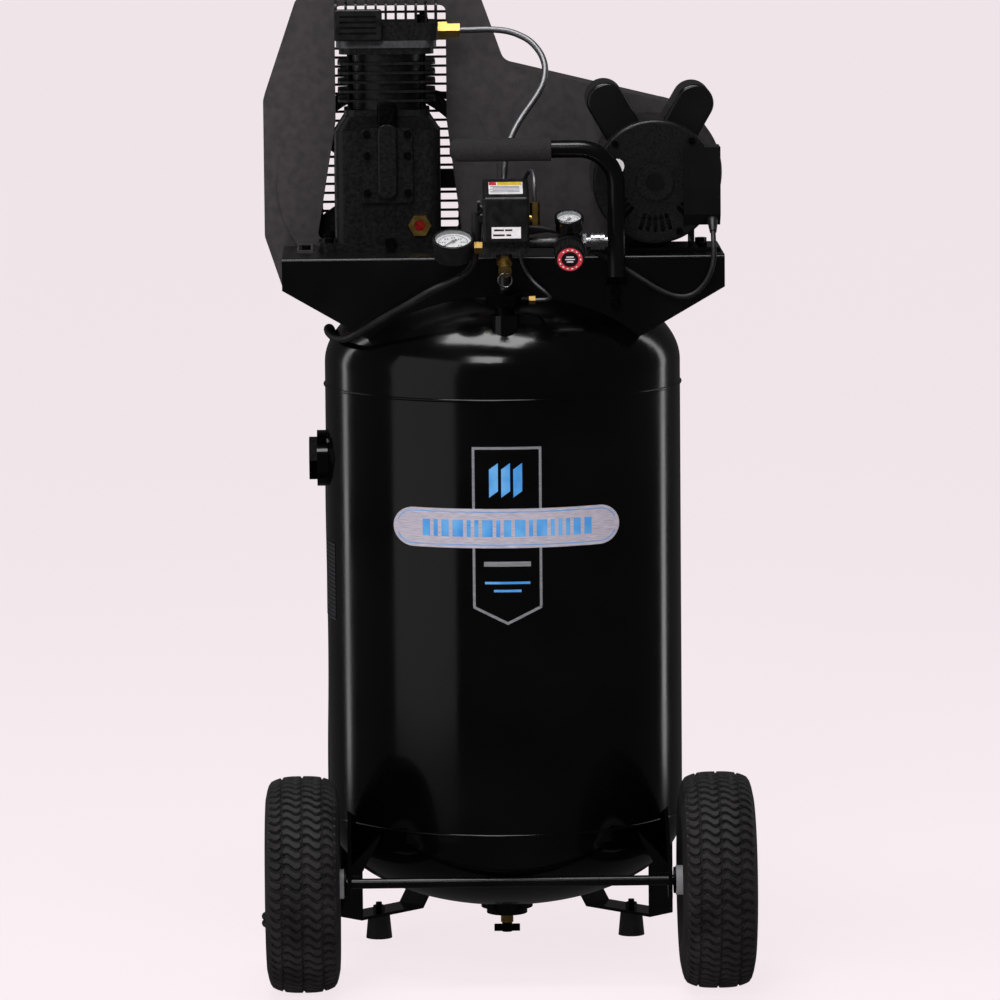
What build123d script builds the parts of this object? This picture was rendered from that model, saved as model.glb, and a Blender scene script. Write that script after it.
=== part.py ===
from build123d import *
from math import atan2, cos, degrees, hypot, radians, sin, sqrt, tan
import os

os.makedirs("parts", exist_ok=True)

# Upright portable air compressor, belt driven. Millimetres.
# Frame: +X right, -Y front (handle side), +Z up, floor at z = 0, origin under the middle of the machine.

# ---------------------------------------------------------------- driving sizes

# tank: rolled shell between two dished heads
tank_r = 225
tank_wall = 3
shell_low = 191
shell_high = 744
head_depth = 112.5
top_flange = 24
low_flange = 5
weld_bead = 2
bead_in = 4

# wheels and axle
tyre_r = 135
tyre_width = 92
wheel_x = 258
axle_r = 6.35
axle_ahead = 211
hub_in = 207
hub_out = 292
hub_r = 18.5
hub_tube_r = 14
hub_flange = 10
rim_r = 50.8

# fits
running_gap = 0.06
body_gap = 0.3
weld_gap = 0.2
seat_gap = 0.05

# the tank axis stands behind the origin so that the machine's box is centred on it
tank_y = (axle_ahead + tyre_r - tank_r - weld_bead) / 2
axle_y = tank_y - axle_ahead
axle_z = tyre_r

# platform for pump and motor
platform_z = 910
platform_half = 276
platform_front = tank_y - 127
platform_back = tank_y + 60
plate_t = 5
skirt_side = 40
skirt_slope = 30

# pump
pump_x = -143
pump_y = tank_y + 10
crank_z = 990
crankcase_w = 134
crankcase_d = 80
crankcase_top = 1062
neck_top = 1080
case_wall = 10
bore_r = 35
throw = 20
rod_length = 110
rod_t = 16
pin_r = 9
shaft_r = 12.5
bearing_r = 26
bearing_w = 15
nose_r = 34
nose_end = pump_y + 76
cylinder_top = 1166
fin_w = 123
fin_d = 98
fin_t = 3
valve_plate_t = 9
head_w = 130
head_d = 98
head_top = 1223

# drive: flywheel on the crankshaft, small pulley on the motor
belt_y = tank_y + 113
flywheel_r = 125
flywheel_w = 30
pulley_r = 38
pulley_w = 24
belt_w = 12.7
belt_h = 8
belt_low_w = 8
groove_depth = 11

# motor
motor_x = 191
motor_z = 999
motor_r = 77.5
motor_shell_t = 2.5
motor_front = tank_y - 75
motor_back = tank_y + 30
bell_depth = 21
rotor_r = 44
rotor_gap = 0.6
motor_shaft_r = 8.5
motor_bearing_r = 20
motor_bearing_w = 12

# belt guard
guard_front = tank_y + 64.5
guard_back = tank_y + 164
guard_t = 2.5
guard_bulge_r = 140
guard_bulge = 4

# handle
handle_x = 140
handle_y = tank_y - 147
handle_z = 1045
tube_r = 11
tube_wall = 1.6
handle_bend = 46
leg_low = 886
tab_top = 874
tab_low = 842
tab_w = 28
tab_t = 6
grip_r = 14.5
grip_left = -66
grip_right = 60

# controls on the riser at the front of the tank
riser_y = tank_y - 184
riser_r = 6.3
boss_top = 843
boss_r = 18
switch_low = 936
switch_half = 28.5
switch_front = tank_y - 210
switch_back = tank_y - 158
switch_lip = 990
switch_top = 1012
cover_wall = 2
regulator_x = 80
regulator_z = 932
knob_tilt = 22
gauge_tilt = 66
tank_gauge_x = -63
tank_gauge_r = 25.5
tank_gauge_depth = 26
outlet_gauge_r = 18
outlet_gauge_depth = 18

# tubes and cords
discharge_r = 4
unloader_r = 2.4
cord_d = 9
motor_cord_d = 6.5

# rear feet
foot_z = 34
strap_t = 4
strap_w = 42
foot_r = 17


def front_plane(y):
    """Vertical plane at depth y that looks to the front: sketch x is X, sketch y is Z."""
    return Plane.XZ.offset(-y)


def line_plane(start, direction, x_dir=(1, 0, 0)):
    """Plane at a point, square to a direction."""
    return Plane(origin=start, x_dir=x_dir, z_dir=direction)


def along(start, direction, distance):
    """The point at a distance from start in a unit direction."""
    return tuple(s + d * distance for s, d in zip(start, direction))


knob_dir = (0, -cos(radians(knob_tilt)), -sin(radians(knob_tilt)))
gauge_dir = (0, -cos(radians(gauge_tilt)), sin(radians(gauge_tilt)))
tank_axis = Axis((0, tank_y, 0), (0, 0, 1))
tank_section = Plane(origin=(0, tank_y, 0), x_dir=(1, 0, 0), z_dir=(0, -1, 0))
top_spring = shell_high + top_flange
low_spring = shell_low - low_flange
tank_low = low_spring - head_depth

# ---------------------------------------------------------------- tank

# the whole outside of the tank, a little larger, which welded parts are fitted to
with BuildPart() as tank_envelope:
    with BuildSketch(tank_section):
        with Locations((0, top_spring), (0, low_spring)):
            Ellipse(tank_r + weld_gap, head_depth + weld_gap)
        with Locations((0, (top_spring + low_spring) / 2)):
            Rectangle(2 * (tank_r + weld_gap), top_spring - low_spring)
        with Locations((tank_r, (top_spring + low_spring) / 2)):
            Rectangle(2 * tank_r, 2 * (top_spring - low_spring), mode=Mode.INTERSECT)
        with Locations((tank_r, shell_low + bead_in), (tank_r, shell_high - bead_in)):
            Circle(weld_bead + weld_gap)
    revolve(axis=tank_axis)

port_z = 645
port_r = 35.5
port_reach = 11
port_hole_r = 20
with BuildPart() as tank_shell:
    with BuildSketch(Plane.XY.offset(shell_low)):
        with Locations((0, tank_y)):
            Circle(tank_r)
    extrude(amount=shell_high - shell_low)
    with BuildSketch(tank_section):
        with Locations((tank_r, shell_low + bead_in), (tank_r, shell_high - bead_in)):
            Circle(weld_bead)
    revolve(axis=tank_axis)
    with BuildSketch(Plane.YZ.offset(-tank_r - port_reach)):
        with Locations((tank_y, port_z)):
            Circle(port_r)
    extrude(amount=port_reach + 8)
    with BuildSketch(Plane.XY.offset(shell_low)):
        with Locations((0, tank_y)):
            Circle(tank_r - tank_wall)
    extrude(amount=shell_high - shell_low, mode=Mode.SUBTRACT)
    with BuildSketch(Plane.YZ.offset(-tank_r - port_reach)):
        with Locations((tank_y, port_z)):
            Circle(port_hole_r)
    extrude(amount=port_reach + 20, mode=Mode.SUBTRACT)
tank_shell.part.label = "tank_shell"
export_step(tank_shell.part, "parts/tank_shell.step")

check_port_r = 8.1
with BuildPart() as tank_top_head:
    with BuildSketch(tank_section):
        with Locations((0, top_spring)):
            Ellipse(tank_r, head_depth)
        with Locations((0, top_spring - top_flange / 2)):
            Rectangle(2 * tank_r, top_flange)
        with Locations((tank_r, top_spring + head_depth / 2 - top_flange / 2)):
            Rectangle(2 * tank_r, head_depth + top_flange, mode=Mode.INTERSECT)
    revolve(axis=tank_axis)
    with BuildSketch(Plane.XY.offset(boss_top)):
        with Locations((0, riser_y)):
            Circle(boss_r)
    extrude(amount=-45)
    with BuildSketch(tank_section):
        with Locations((0, top_spring)):
            Ellipse(tank_r - tank_wall, head_depth - tank_wall)
        with Locations((0, top_spring - top_flange / 2)):
            Rectangle(2 * (tank_r - tank_wall), top_flange)
        with Locations((tank_r, top_spring + head_depth / 2 - top_flange / 2)):
            Rectangle(2 * tank_r, head_depth + top_flange, mode=Mode.INTERSECT)
    revolve(axis=tank_axis, mode=Mode.SUBTRACT)
    with BuildSketch(Plane.XY.offset(boss_top)):
        with Locations((0, riser_y)):
            Circle(check_port_r)
    extrude(amount=-60, mode=Mode.SUBTRACT)
tank_top_head.part.label = "tank_top_head"
export_step(tank_top_head.part, "parts/tank_top_head.step")

drain_boss_r = 33
drain_step_r = 26
drain_boss_low = tank_low - 9
drain_step_low = drain_boss_low - 8
drain_bore_r = 6
with BuildPart() as tank_bottom_head:
    with BuildSketch(tank_section):
        with Locations((0, low_spring)):
            Ellipse(tank_r, head_depth)
        with Locations((0, low_spring + low_flange / 2)):
            Rectangle(2 * tank_r, low_flange)
        with Locations((tank_r, low_spring - head_depth / 2 + low_flange / 2)):
            Rectangle(2 * tank_r, head_depth + low_flange, mode=Mode.INTERSECT)
    revolve(axis=tank_axis)
    for radius, low in ((drain_boss_r, drain_boss_low), (drain_step_r, drain_step_low)):
        with BuildSketch(Plane.XY.offset(low)):
            with Locations((0, tank_y)):
                Circle(radius)
        extrude(amount=tank_low + 12 - low)
    with BuildSketch(tank_section):
        with Locations((0, low_spring)):
            Ellipse(tank_r - tank_wall, head_depth - tank_wall)
        with Locations((0, low_spring + low_flange / 2)):
            Rectangle(2 * (tank_r - tank_wall), low_flange)
        with Locations((tank_r, low_spring - head_depth / 2 + low_flange / 2)):
            Rectangle(2 * tank_r, head_depth + low_flange, mode=Mode.INTERSECT)
    revolve(axis=tank_axis, mode=Mode.SUBTRACT)
    with BuildSketch(Plane.XY.offset(drain_step_low)):
        with Locations((0, tank_y)):
            Circle(drain_bore_r)
    extrude(amount=40, mode=Mode.SUBTRACT)
tank_bottom_head.part.label = "tank_bottom_head"
export_step(tank_bottom_head.part, "parts/tank_bottom_head.step")

# ---------------------------------------------------------------- platform

skirt_out = (platform_half, platform_z - skirt_side)
skirt_in = 160
skirt_in_z = skirt_out[1] - (platform_half - skirt_in) * tan(radians(skirt_slope))
pump_bolt_x = 76
pump_bolt_y = 28
motor_bolt_x = 62
motor_foot_front = motor_front + 8
motor_foot_back = motor_back - 8
handle_bolt_z = (tab_low + 8, tab_top - 8)
bolt_r = 4
hole_r = 4.5
guard_tab_bolt = (-248, tank_y - 32)
guard_bolt_z = platform_z - 13
guard_bolts_at = ((-230, guard_front - guard_bulge), (-24, guard_front))
pump_bolts_at = [(pump_x + i * pump_bolt_x, pump_y + j * pump_bolt_y) for i in (-1, 1) for j in (-1, 1)]
motor_bolts_at = [
    (motor_x + i * motor_bolt_x, y) for i in (-1, 1) for y in (motor_foot_front + 8, motor_foot_back - 8)
]
with BuildPart() as platform:
    with BuildSketch(Plane.XY.offset(platform_z - plate_t)):
        with Locations((0, (platform_front + platform_back) / 2)):
            Rectangle(2 * platform_half, platform_back - platform_front)
    extrude(amount=plate_t)
    for back in (platform_front + plate_t, platform_back):
        with BuildSketch(front_plane(back)):
            Polygon(
                (-platform_half, platform_z),
                (platform_half, platform_z),
                skirt_out,
                (skirt_in, skirt_in_z),
                (-skirt_in, skirt_in_z),
                (-skirt_out[0], skirt_out[1]),
                align=None,
            )
        extrude(amount=plate_t)
    bends = platform.edges().filter_by(Axis.X).filter_by_position(Axis.Z, platform_z - 0.1, platform_z + 0.1)
    fillet(bends, radius=plate_t - 1)
    add(tank_envelope.part, mode=Mode.SUBTRACT)
    with Locations(*[(x, y, platform_z) for x, y in pump_bolts_at + motor_bolts_at + [guard_tab_bolt]]):
        Cylinder(hole_r, 3 * plate_t, mode=Mode.SUBTRACT)
    with Locations(*[Location((handle_x, platform_front, z), (90, 0, 0)) for z in handle_bolt_z]):
        Cylinder(hole_r, 3 * plate_t, mode=Mode.SUBTRACT)
    with Locations(*[Location((x, platform_back, guard_bolt_z), (90, 0, 0)) for x, _ in guard_bolts_at]):
        Cylinder(hole_r, 3 * plate_t, mode=Mode.SUBTRACT)
platform.part.label = "platform"
export_step(platform.part, "parts/platform.step")

# ---------------------------------------------------------------- axle and its brackets

bracket_x = 200
bracket_t = 5
with BuildPart() as axle_brackets:
    for side in (-1, 1):
        with BuildSketch(Plane.YZ.offset(side * bracket_x - bracket_t / 2)):
            Polygon(
                (axle_y - 14, axle_z - 20),
                (axle_y - 14, axle_z + 12),
                (axle_y + 6, axle_z + 22),
                (tank_y - 80, shell_low + 26),
                (tank_y - 80, shell_low - 34),
                (axle_y + 8, axle_z - 22),
                align=None,
            )
        extrude(amount=bracket_t)
        with BuildSketch(front_plane(tank_y - 95)):
            Polygon(
                (side * (bracket_x - 1), axle_z - 3),
                (side * (bracket_x - 1), axle_z + 18),
                (side * (bracket_x - 38), shell_low + 3),
                (side * (bracket_x - 38), shell_low - 3),
                (side * (bracket_x - 8), axle_z - 3),
                align=None,
            )
        extrude(amount=tank_y - 95 - axle_y - 12)
    add(tank_envelope.part, mode=Mode.SUBTRACT)
    with Locations(Location((0, axle_y, axle_z), (0, 90, 0))):
        Cylinder(axle_r + weld_gap, 3 * bracket_x, mode=Mode.SUBTRACT)
axle_brackets.part.label = "axle_brackets"
export_step(axle_brackets.part, "parts/axle_brackets.step")

washer_t = 2.5
cap_t = 6
axle_end = hub_out + body_gap + washer_t + cap_t
with BuildPart() as axle_rod:
    with Locations(Location((0, axle_y, axle_z), (0, 90, 0))):
        Cylinder(axle_r, 2 * axle_end - 4)
    chamfer(axle_rod.edges().filter_by(GeomType.CIRCLE), length=1)
axle_rod.part.label = "axle_rod"
export_step(axle_rod.part, "parts/axle_rod.step")

# ---------------------------------------------------------------- rear feet

strap_start = (-201, tank_y + 94)
strap_heading = 45
strap_flat = 112
strap_rise = 190
strap_run_in = 26
strap_dir = (cos(radians(strap_heading)), sin(radians(strap_heading)))
foot_at = (strap_start[0] + strap_dir[0] * 52, strap_start[1] + strap_dir[1] * 52)
foot_stud_r = 4.0
strap_section = Plane(
    origin=(strap_start[0], strap_start[1], 0),
    x_dir=(strap_dir[0], strap_dir[1], 0),
    z_dir=(strap_dir[1], -strap_dir[0], 0),
)
with BuildPart() as rear_foot_straps:
    with BuildSketch(strap_section):
        with BuildLine():
            Polyline(
                (0, strap_rise - foot_z),
                (0, foot_z),
                (strap_flat, foot_z),
                (strap_flat + strap_run_in, foot_z + 34),
            )
            offset(amount=strap_t / 2, side=Side.BOTH)
        make_face()
    extrude(amount=strap_w / 2, both=True)
    with Locations((foot_at[0], foot_at[1], foot_z)):
        Cylinder(hole_r, 4 * strap_t, mode=Mode.SUBTRACT)
    add(tank_envelope.part, mode=Mode.SUBTRACT)
    mirror(about=Plane.YZ)
rear_foot_straps.part.label = "rear_foot_straps"
export_step(rear_foot_straps.part, "parts/rear_foot_straps.step")

foot_top = foot_z - strap_t / 2
foot_pocket_r = 9
foot_pocket = 8
with BuildPart() as rubber_feet:
    for side in (1, -1):
        with Locations((side * foot_at[0], foot_at[1], 0)):
            Cone(foot_r, foot_r - 3, foot_top, align=(Align.CENTER, Align.CENTER, Align.MIN))
            Cylinder(foot_stud_r + 0.2, foot_top, align=(Align.CENTER, Align.CENTER, Align.MIN), mode=Mode.SUBTRACT)
            # pocket for the stud's head
            Cylinder(foot_pocket_r, foot_pocket, align=(Align.CENTER, Align.CENTER, Align.MIN), mode=Mode.SUBTRACT)
rubber_feet.part.label = "rubber_feet"
export_step(rubber_feet.part, "parts/rubber_feet.step")

# ---------------------------------------------------------------- wheels

bead_x = 30
bead_top = 60
bead_seat = rim_r + 0.2
tyre_wall = 7
tread_half = 34
crown_edge = tyre_r - 3
shoulder_x = tread_half + 6.5
shoulder_r = tyre_r - 11
sidewall_mid = (bead_top + shoulder_r) / 2
liner_x = tread_half - 1
liner_r = shoulder_r - 6
for side, name in ((-1, "left"), (1, "right")):
    wheel_section = Plane(origin=(side * wheel_x, axle_y, axle_z), x_dir=(1, 0, 0), z_dir=(0, -1, 0))
    spin_axis = Axis((0, axle_y, axle_z), (1, 0, 0))
    with BuildPart() as tyre:
        with BuildSketch(wheel_section):
            with BuildLine():
                ThreePointArc((-tread_half, crown_edge), (0, tyre_r), (tread_half, crown_edge))
                ThreePointArc(
                    (tread_half, crown_edge),
                    (tread_half + 4.5, tyre_r - 6),
                    (shoulder_x, shoulder_r),
                )
                ThreePointArc((shoulder_x, shoulder_r), (tyre_width / 2, sidewall_mid), (bead_x, bead_top))
                Polyline(
                    (bead_x, bead_top),
                    (bead_x, bead_seat),
                    (bead_x - tyre_wall, bead_seat),
                    (bead_x - tyre_wall, bead_top),
                )
                ThreePointArc(
                    (bead_x - tyre_wall, bead_top),
                    (tyre_width / 2 - tyre_wall, sidewall_mid),
                    (liner_x, liner_r),
                )
                ThreePointArc((liner_x, liner_r), (0, tyre_r - 10), (-liner_x, liner_r))
                ThreePointArc(
                    (-liner_x, liner_r),
                    (tyre_wall - tyre_width / 2, sidewall_mid),
                    (tyre_wall - bead_x, bead_top),
                )
                Polyline(
                    (tyre_wall - bead_x, bead_top),
                    (tyre_wall - bead_x, bead_seat),
                    (-bead_x, bead_seat),
                    (-bead_x, bead_top),
                )
                ThreePointArc((-bead_x, bead_top), (-tyre_width / 2, sidewall_mid), (-shoulder_x, shoulder_r))
                ThreePointArc(
                    (-shoulder_x, shoulder_r),
                    (-tread_half - 4.5, tyre_r - 6),
                    (-tread_half, crown_edge),
                )
            make_face()
        revolve(axis=spin_axis)
    tyre.part.label = f"{name}_tyre"
    export_step(tyre.part, f"parts/{name}_tyre.step")

    inner = side * (hub_in - wheel_x)
    outer = side * (hub_out - wheel_x)
    with BuildPart() as rim:
        with BuildSketch(wheel_section):
            Polygon(
                (-bead_x - 3.2, rim_r + 7),
                (-bead_x - 0.2, rim_r + 7),
                (-bead_x - 0.2, rim_r),
                (bead_x + 0.2, rim_r),
                (bead_x + 0.2, rim_r + 7),
                (bead_x + 3.2, rim_r + 7),
                (bead_x + 3.2, rim_r - 3),
                (2, rim_r - 3),
                (2, hub_tube_r - 2),
                (-2, hub_tube_r - 2),
                (-2, rim_r - 3),
                (-bead_x - 3.2, rim_r - 3),
                align=None,
            )
            with Locations(((inner + outer) / 2, hub_tube_r / 2)):
                Rectangle(abs(outer - inner), hub_tube_r)
            with Locations((inner + side * hub_flange / 2, hub_r / 2)):
                Rectangle(hub_flange, hub_r)
            with Locations(((inner + outer) / 2, 0)):
                Rectangle(2 * abs(outer - inner), 2 * (axle_r + running_gap), mode=Mode.SUBTRACT)
        revolve(axis=spin_axis)
        with Locations(Location((side * wheel_x, axle_y, axle_z), (0, 90, 0))):
            with PolarLocations((rim_r + hub_tube_r) / 2, 5):
                Cylinder(6.5, 20, mode=Mode.SUBTRACT)
    rim.part.label = f"{name}_rim"
    export_step(rim.part, f"parts/{name}_rim.step")

# ---------------------------------------------------------------- handle

with BuildPart() as handle_tube:
    with BuildLine() as handle_path:
        FilletPolyline(
            (grip_left + 8, handle_y, handle_z),
            (handle_x, handle_y, handle_z),
            (handle_x, handle_y, leg_low),
            radius=handle_bend,
        )
    with BuildSketch(Plane(origin=handle_path.line @ 0, x_dir=(0, 1, 0), z_dir=(1, 0, 0))):
        Circle(tube_r)
        Circle(tube_r - tube_wall, mode=Mode.SUBTRACT)
    sweep(path=handle_path.line)
    with BuildSketch(Plane.XY.offset(leg_low)):
        with Locations((handle_x, handle_y)):
            Circle(tube_r)
    with BuildSketch(Plane.XY.offset(tab_top)):
        with Locations((handle_x, platform_front - tab_t / 2 - seat_gap)):
            Rectangle(tab_w, tab_t)
    loft()
    with BuildSketch(front_plane(platform_front - seat_gap)):
        with Locations((handle_x, (tab_top + tab_low) / 2)):
            RectangleRounded(tab_w, tab_top - tab_low, 2)
    extrude(amount=tab_t)
    with Locations(*[Location((handle_x, platform_front, z), (90, 0, 0)) for z in handle_bolt_z]):
        Cylinder(hole_r, 40, mode=Mode.SUBTRACT)
handle_tube.part.label = "handle_tube"
export_step(handle_tube.part, "parts/handle_tube.step")

with BuildPart() as handle_grip:
    with BuildSketch(Plane.YZ.offset(grip_left)):
        with Locations((handle_y, handle_z)):
            Circle(grip_r)
    extrude(amount=grip_right - grip_left)
    fillet(handle_grip.faces().sort_by(Axis.X)[0].edges(), radius=grip_r - 3)
    fillet(handle_grip.faces().sort_by(Axis.X)[-1].edges(), radius=1.5)
    with BuildSketch(Plane.YZ.offset(grip_left + 8 - seat_gap)):
        with Locations((handle_y, handle_z)):
            Circle(tube_r + seat_gap)
    extrude(amount=grip_right - grip_left, mode=Mode.SUBTRACT)
handle_grip.part.label = "handle_grip"
export_step(handle_grip.part, "parts/handle_grip.step")

# ---------------------------------------------------------------- pump

base_t = 10
front_wall = pump_y - crankcase_d / 2
cover_w = 63
cover_z = 1018.5
cover_h = 94
cover_t = 8
cover_bolts_at = [(pump_x + i * 25.5, z) for i in (-1, 1) for z in (1058, 1031, 984)]
sight_at = (-103, 942)
sight_r = 10
drain_plug_at = (-140, 920)
stud_x = 46
stud_y = 36
studs_at = [(pump_x + i * stud_x, pump_y + j * stud_y) for i in (-1, 1) for j in (-1, 1)]
with BuildPart() as crankcase:
    with BuildSketch(Plane.XY.offset(platform_z)):
        with Locations((pump_x, pump_y)):
            RectangleRounded(2 * pump_bolt_x + 24, crankcase_d, 12)
    extrude(amount=base_t)
    with BuildSketch(Plane.XY.offset(platform_z)):
        with Locations((pump_x, pump_y)):
            RectangleRounded(crankcase_w, crankcase_d, 14)
    extrude(amount=crankcase_top - platform_z)
    with BuildSketch(Plane.XY.offset(crankcase_top)):
        with Locations((pump_x, pump_y)):
            RectangleRounded(crankcase_w - 2, crankcase_d - 2, 13)
    with BuildSketch(Plane.XY.offset(neck_top)):
        with Locations((pump_x, pump_y)):
            RectangleRounded(crankcase_w - 26, crankcase_d + 4, 10)
    loft()
    with BuildSketch(front_plane(nose_end)):
        with Locations((pump_x, crank_z)):
            Circle(nose_r)
    extrude(amount=nose_end - pump_y)
    # the sump and the room that the crank turns in
    with BuildSketch(front_plane(pump_y + crankcase_d / 2 - 16)):
        with Locations((pump_x, (platform_z + 14 + crankcase_top - case_wall) / 2)):
            RectangleRounded(crankcase_w - 2 * case_wall, crankcase_top - case_wall - platform_z - 14, 10)
    extrude(amount=crankcase_d - 16 - case_wall, mode=Mode.SUBTRACT)
    with BuildSketch(front_plane(front_wall + case_wall + 1)):
        with Locations((pump_x, cover_z)):
            RectangleRounded(cover_w - 22, cover_h - 24, 6)
    extrude(amount=case_wall + 2, mode=Mode.SUBTRACT)
    with BuildSketch(front_plane(nose_end)):
        with Locations((pump_x, crank_z)):
            Circle(bearing_r + seat_gap)
    extrude(amount=nose_end - pump_y - crankcase_d / 2 + 14, mode=Mode.SUBTRACT)
    with BuildSketch(front_plane(nose_end)):
        with Locations((pump_x, crank_z)):
            Circle(shaft_r + 3)
    extrude(amount=nose_end - pump_y, mode=Mode.SUBTRACT)
    with BuildSketch(Plane.XY.offset(neck_top)):
        with Locations((pump_x, pump_y)):
            Circle(bore_r + 0.5)
    extrude(amount=-40, mode=Mode.SUBTRACT)
    with Locations(*[(x, y, platform_z) for x, y in pump_bolts_at]):
        Cylinder(hole_r, 3 * base_t, mode=Mode.SUBTRACT)
    with Locations(*[Location((x, front_wall, z), (90, 0, 0)) for x, z in cover_bolts_at]):
        Cylinder(2.6, 2 * case_wall - 4, mode=Mode.SUBTRACT)
    with Locations(Location((sight_at[0], front_wall, sight_at[1]), (90, 0, 0))):
        Cylinder(sight_r, 2 * case_wall + 6, mode=Mode.SUBTRACT)
    with Locations(Location((drain_plug_at[0], front_wall, drain_plug_at[1]), (90, 0, 0))):
        Cylinder(5, 2 * case_wall - 2, mode=Mode.SUBTRACT)
    with Locations(*[(x, y, neck_top) for x, y in studs_at]):
        Cylinder(3.6, 24, mode=Mode.SUBTRACT)
crankcase.part.label = "crankcase"
export_step(crankcase.part, "parts/crankcase.step")

rib_w = 25
rib_reach = 8
filler_low = 1072
filler_top = 1095
with BuildPart() as crankcase_cover:
    with BuildSketch(front_plane(front_wall - seat_gap)):
        with Locations((pump_x, cover_z)):
            RectangleRounded(cover_w, cover_h, 5)
    extrude(amount=cover_t)
    with BuildSketch(front_plane(front_wall - cover_t)):
        with Locations((pump_x, (976 + filler_low) / 2)):
            RectangleRounded(rib_w, filler_low - 976, 11)
    extrude(amount=rib_reach)
    fillet(crankcase_cover.faces().sort_by(Axis.Y)[0].edges(), radius=3)
    with Locations(*[Location((x, front_wall, z), (90, 0, 0)) for x, z in cover_bolts_at]):
        Cylinder(3.3, 4 * cover_t, mode=Mode.SUBTRACT)
crankcase_cover.part.label = "crankcase_cover"
export_step(crankcase_cover.part, "parts/crankcase_cover.step")

cylinder_low = neck_top + seat_gap
fin_pitch = (cylinder_top - 8 - cylinder_low - 8) / 6
with BuildPart() as cylinder:
    with BuildSketch(Plane.XY.offset(cylinder_low)):
        with Locations((pump_x, pump_y)):
            Circle(43)
    extrude(amount=cylinder_top - cylinder_low)
    for low, width, depth, thick in (
        [(cylinder_low, crankcase_w - 26, crankcase_d + 8, 8), (cylinder_top - 8, fin_w - 4, fin_d - 2, 8)]
        + [(cylinder_low + 8 + fin_pitch * (i + 1) - fin_t / 2, fin_w, fin_d, fin_t) for i in range(5)]
    ):
        with BuildSketch(Plane.XY.offset(low)):
            with Locations((pump_x, pump_y)):
                RectangleRounded(width, depth, 16)
        extrude(amount=thick)
    with BuildSketch(Plane.XY.offset(cylinder_low)):
        with Locations((pump_x, pump_y)):
            Circle(bore_r)
    extrude(amount=cylinder_top - cylinder_low, mode=Mode.SUBTRACT)
    with Locations(*[(x, y, cylinder_low) for x, y in studs_at]):
        Cylinder(3.6, 400, mode=Mode.SUBTRACT)
cylinder.part.label = "cylinder"
export_step(cylinder.part, "parts/cylinder.step")

with BuildPart() as valve_plate:
    with BuildSketch(Plane.XY.offset(cylinder_top + seat_gap)):
        with Locations((pump_x, pump_y)):
            RectangleRounded(fin_w + 3, fin_d + 1, 16)
        with Locations(*[(pump_x + i * 14, pump_y + j * 8) for i in (-1, 1) for j in (-1, 0, 1)]):
            Circle(3, mode=Mode.SUBTRACT)
        with Locations(*studs_at):
            Circle(3.6, mode=Mode.SUBTRACT)
    extrude(amount=valve_plate_t - 2 * seat_gap)
valve_plate.part.label = "valve_plate"
export_step(valve_plate.part, "parts/valve_plate.step")

head_low = cylinder_top + valve_plate_t
head_fins = 11
head_fin_pitch = (head_w - 4) / (head_fins - 1)
outlet_z = 1185
outlet_bore = 5
with BuildPart() as cylinder_head:
    with BuildSketch(Plane.XY.offset(head_low)):
        with Locations((pump_x, pump_y)):
            RectangleRounded(head_w, head_d, 10)
    extrude(amount=22)
    for i in range(head_fins):
        with BuildSketch(Plane.YZ.offset(pump_x - head_w / 2 + 0.5 + i * head_fin_pitch)):
            with Locations((pump_y, (head_low + 15 + head_top) / 2)):
                RectangleRounded(head_d - 8, head_top - head_low - 15, 7)
        extrude(amount=fin_t)
    for i in (-1, 1):
        with BuildSketch(Plane.XY.offset(head_low)):
            with Locations((pump_x + i * 27, pump_y)):
                RectangleRounded(38, 46, 6)
        extrude(amount=14, mode=Mode.SUBTRACT)
    with Locations(Location((pump_x + head_w / 2, pump_y, outlet_z), (0, 90, 0))):
        Cylinder(outlet_bore, 60, mode=Mode.SUBTRACT)
    with Locations(*[(x, y, head_low) for x, y in studs_at]):
        Cylinder(3.6, 60, mode=Mode.SUBTRACT)
        with Locations((0, 0, 22 + 25)):
            Cylinder(9, 50, mode=Mode.SUBTRACT)
cylinder_head.part.label = "cylinder_head"
export_step(cylinder_head.part, "parts/cylinder_head.step")

filter_w = 60
filter_d = 13
filter_low = head_low + 1
filter_top = 1215
with BuildPart() as intake_filter:
    with BuildSketch(front_plane(pump_y - head_d / 2 - seat_gap)):
        with Locations((pump_x - head_w / 2 + filter_w / 2, (filter_low + filter_top) / 2)):
            RectangleRounded(filter_w, filter_top - filter_low, 4)
    extrude(amount=filter_d)
    fillet(intake_filter.faces().sort_by(Axis.Y)[0].edges(), radius=2)
    with BuildSketch(front_plane(pump_y - head_d / 2 - filter_d + 4)):
        with GridLocations(0, 7, 1, 4):
            with Locations((pump_x - head_w / 2 + filter_w / 2, (filter_low + filter_top) / 2)):
                SlotOverall(filter_w - 14, 3)
    extrude(amount=6, mode=Mode.SUBTRACT)
intake_filter.part.label = "intake_filter"
export_step(intake_filter.part, "parts/intake_filter.step")

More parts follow.
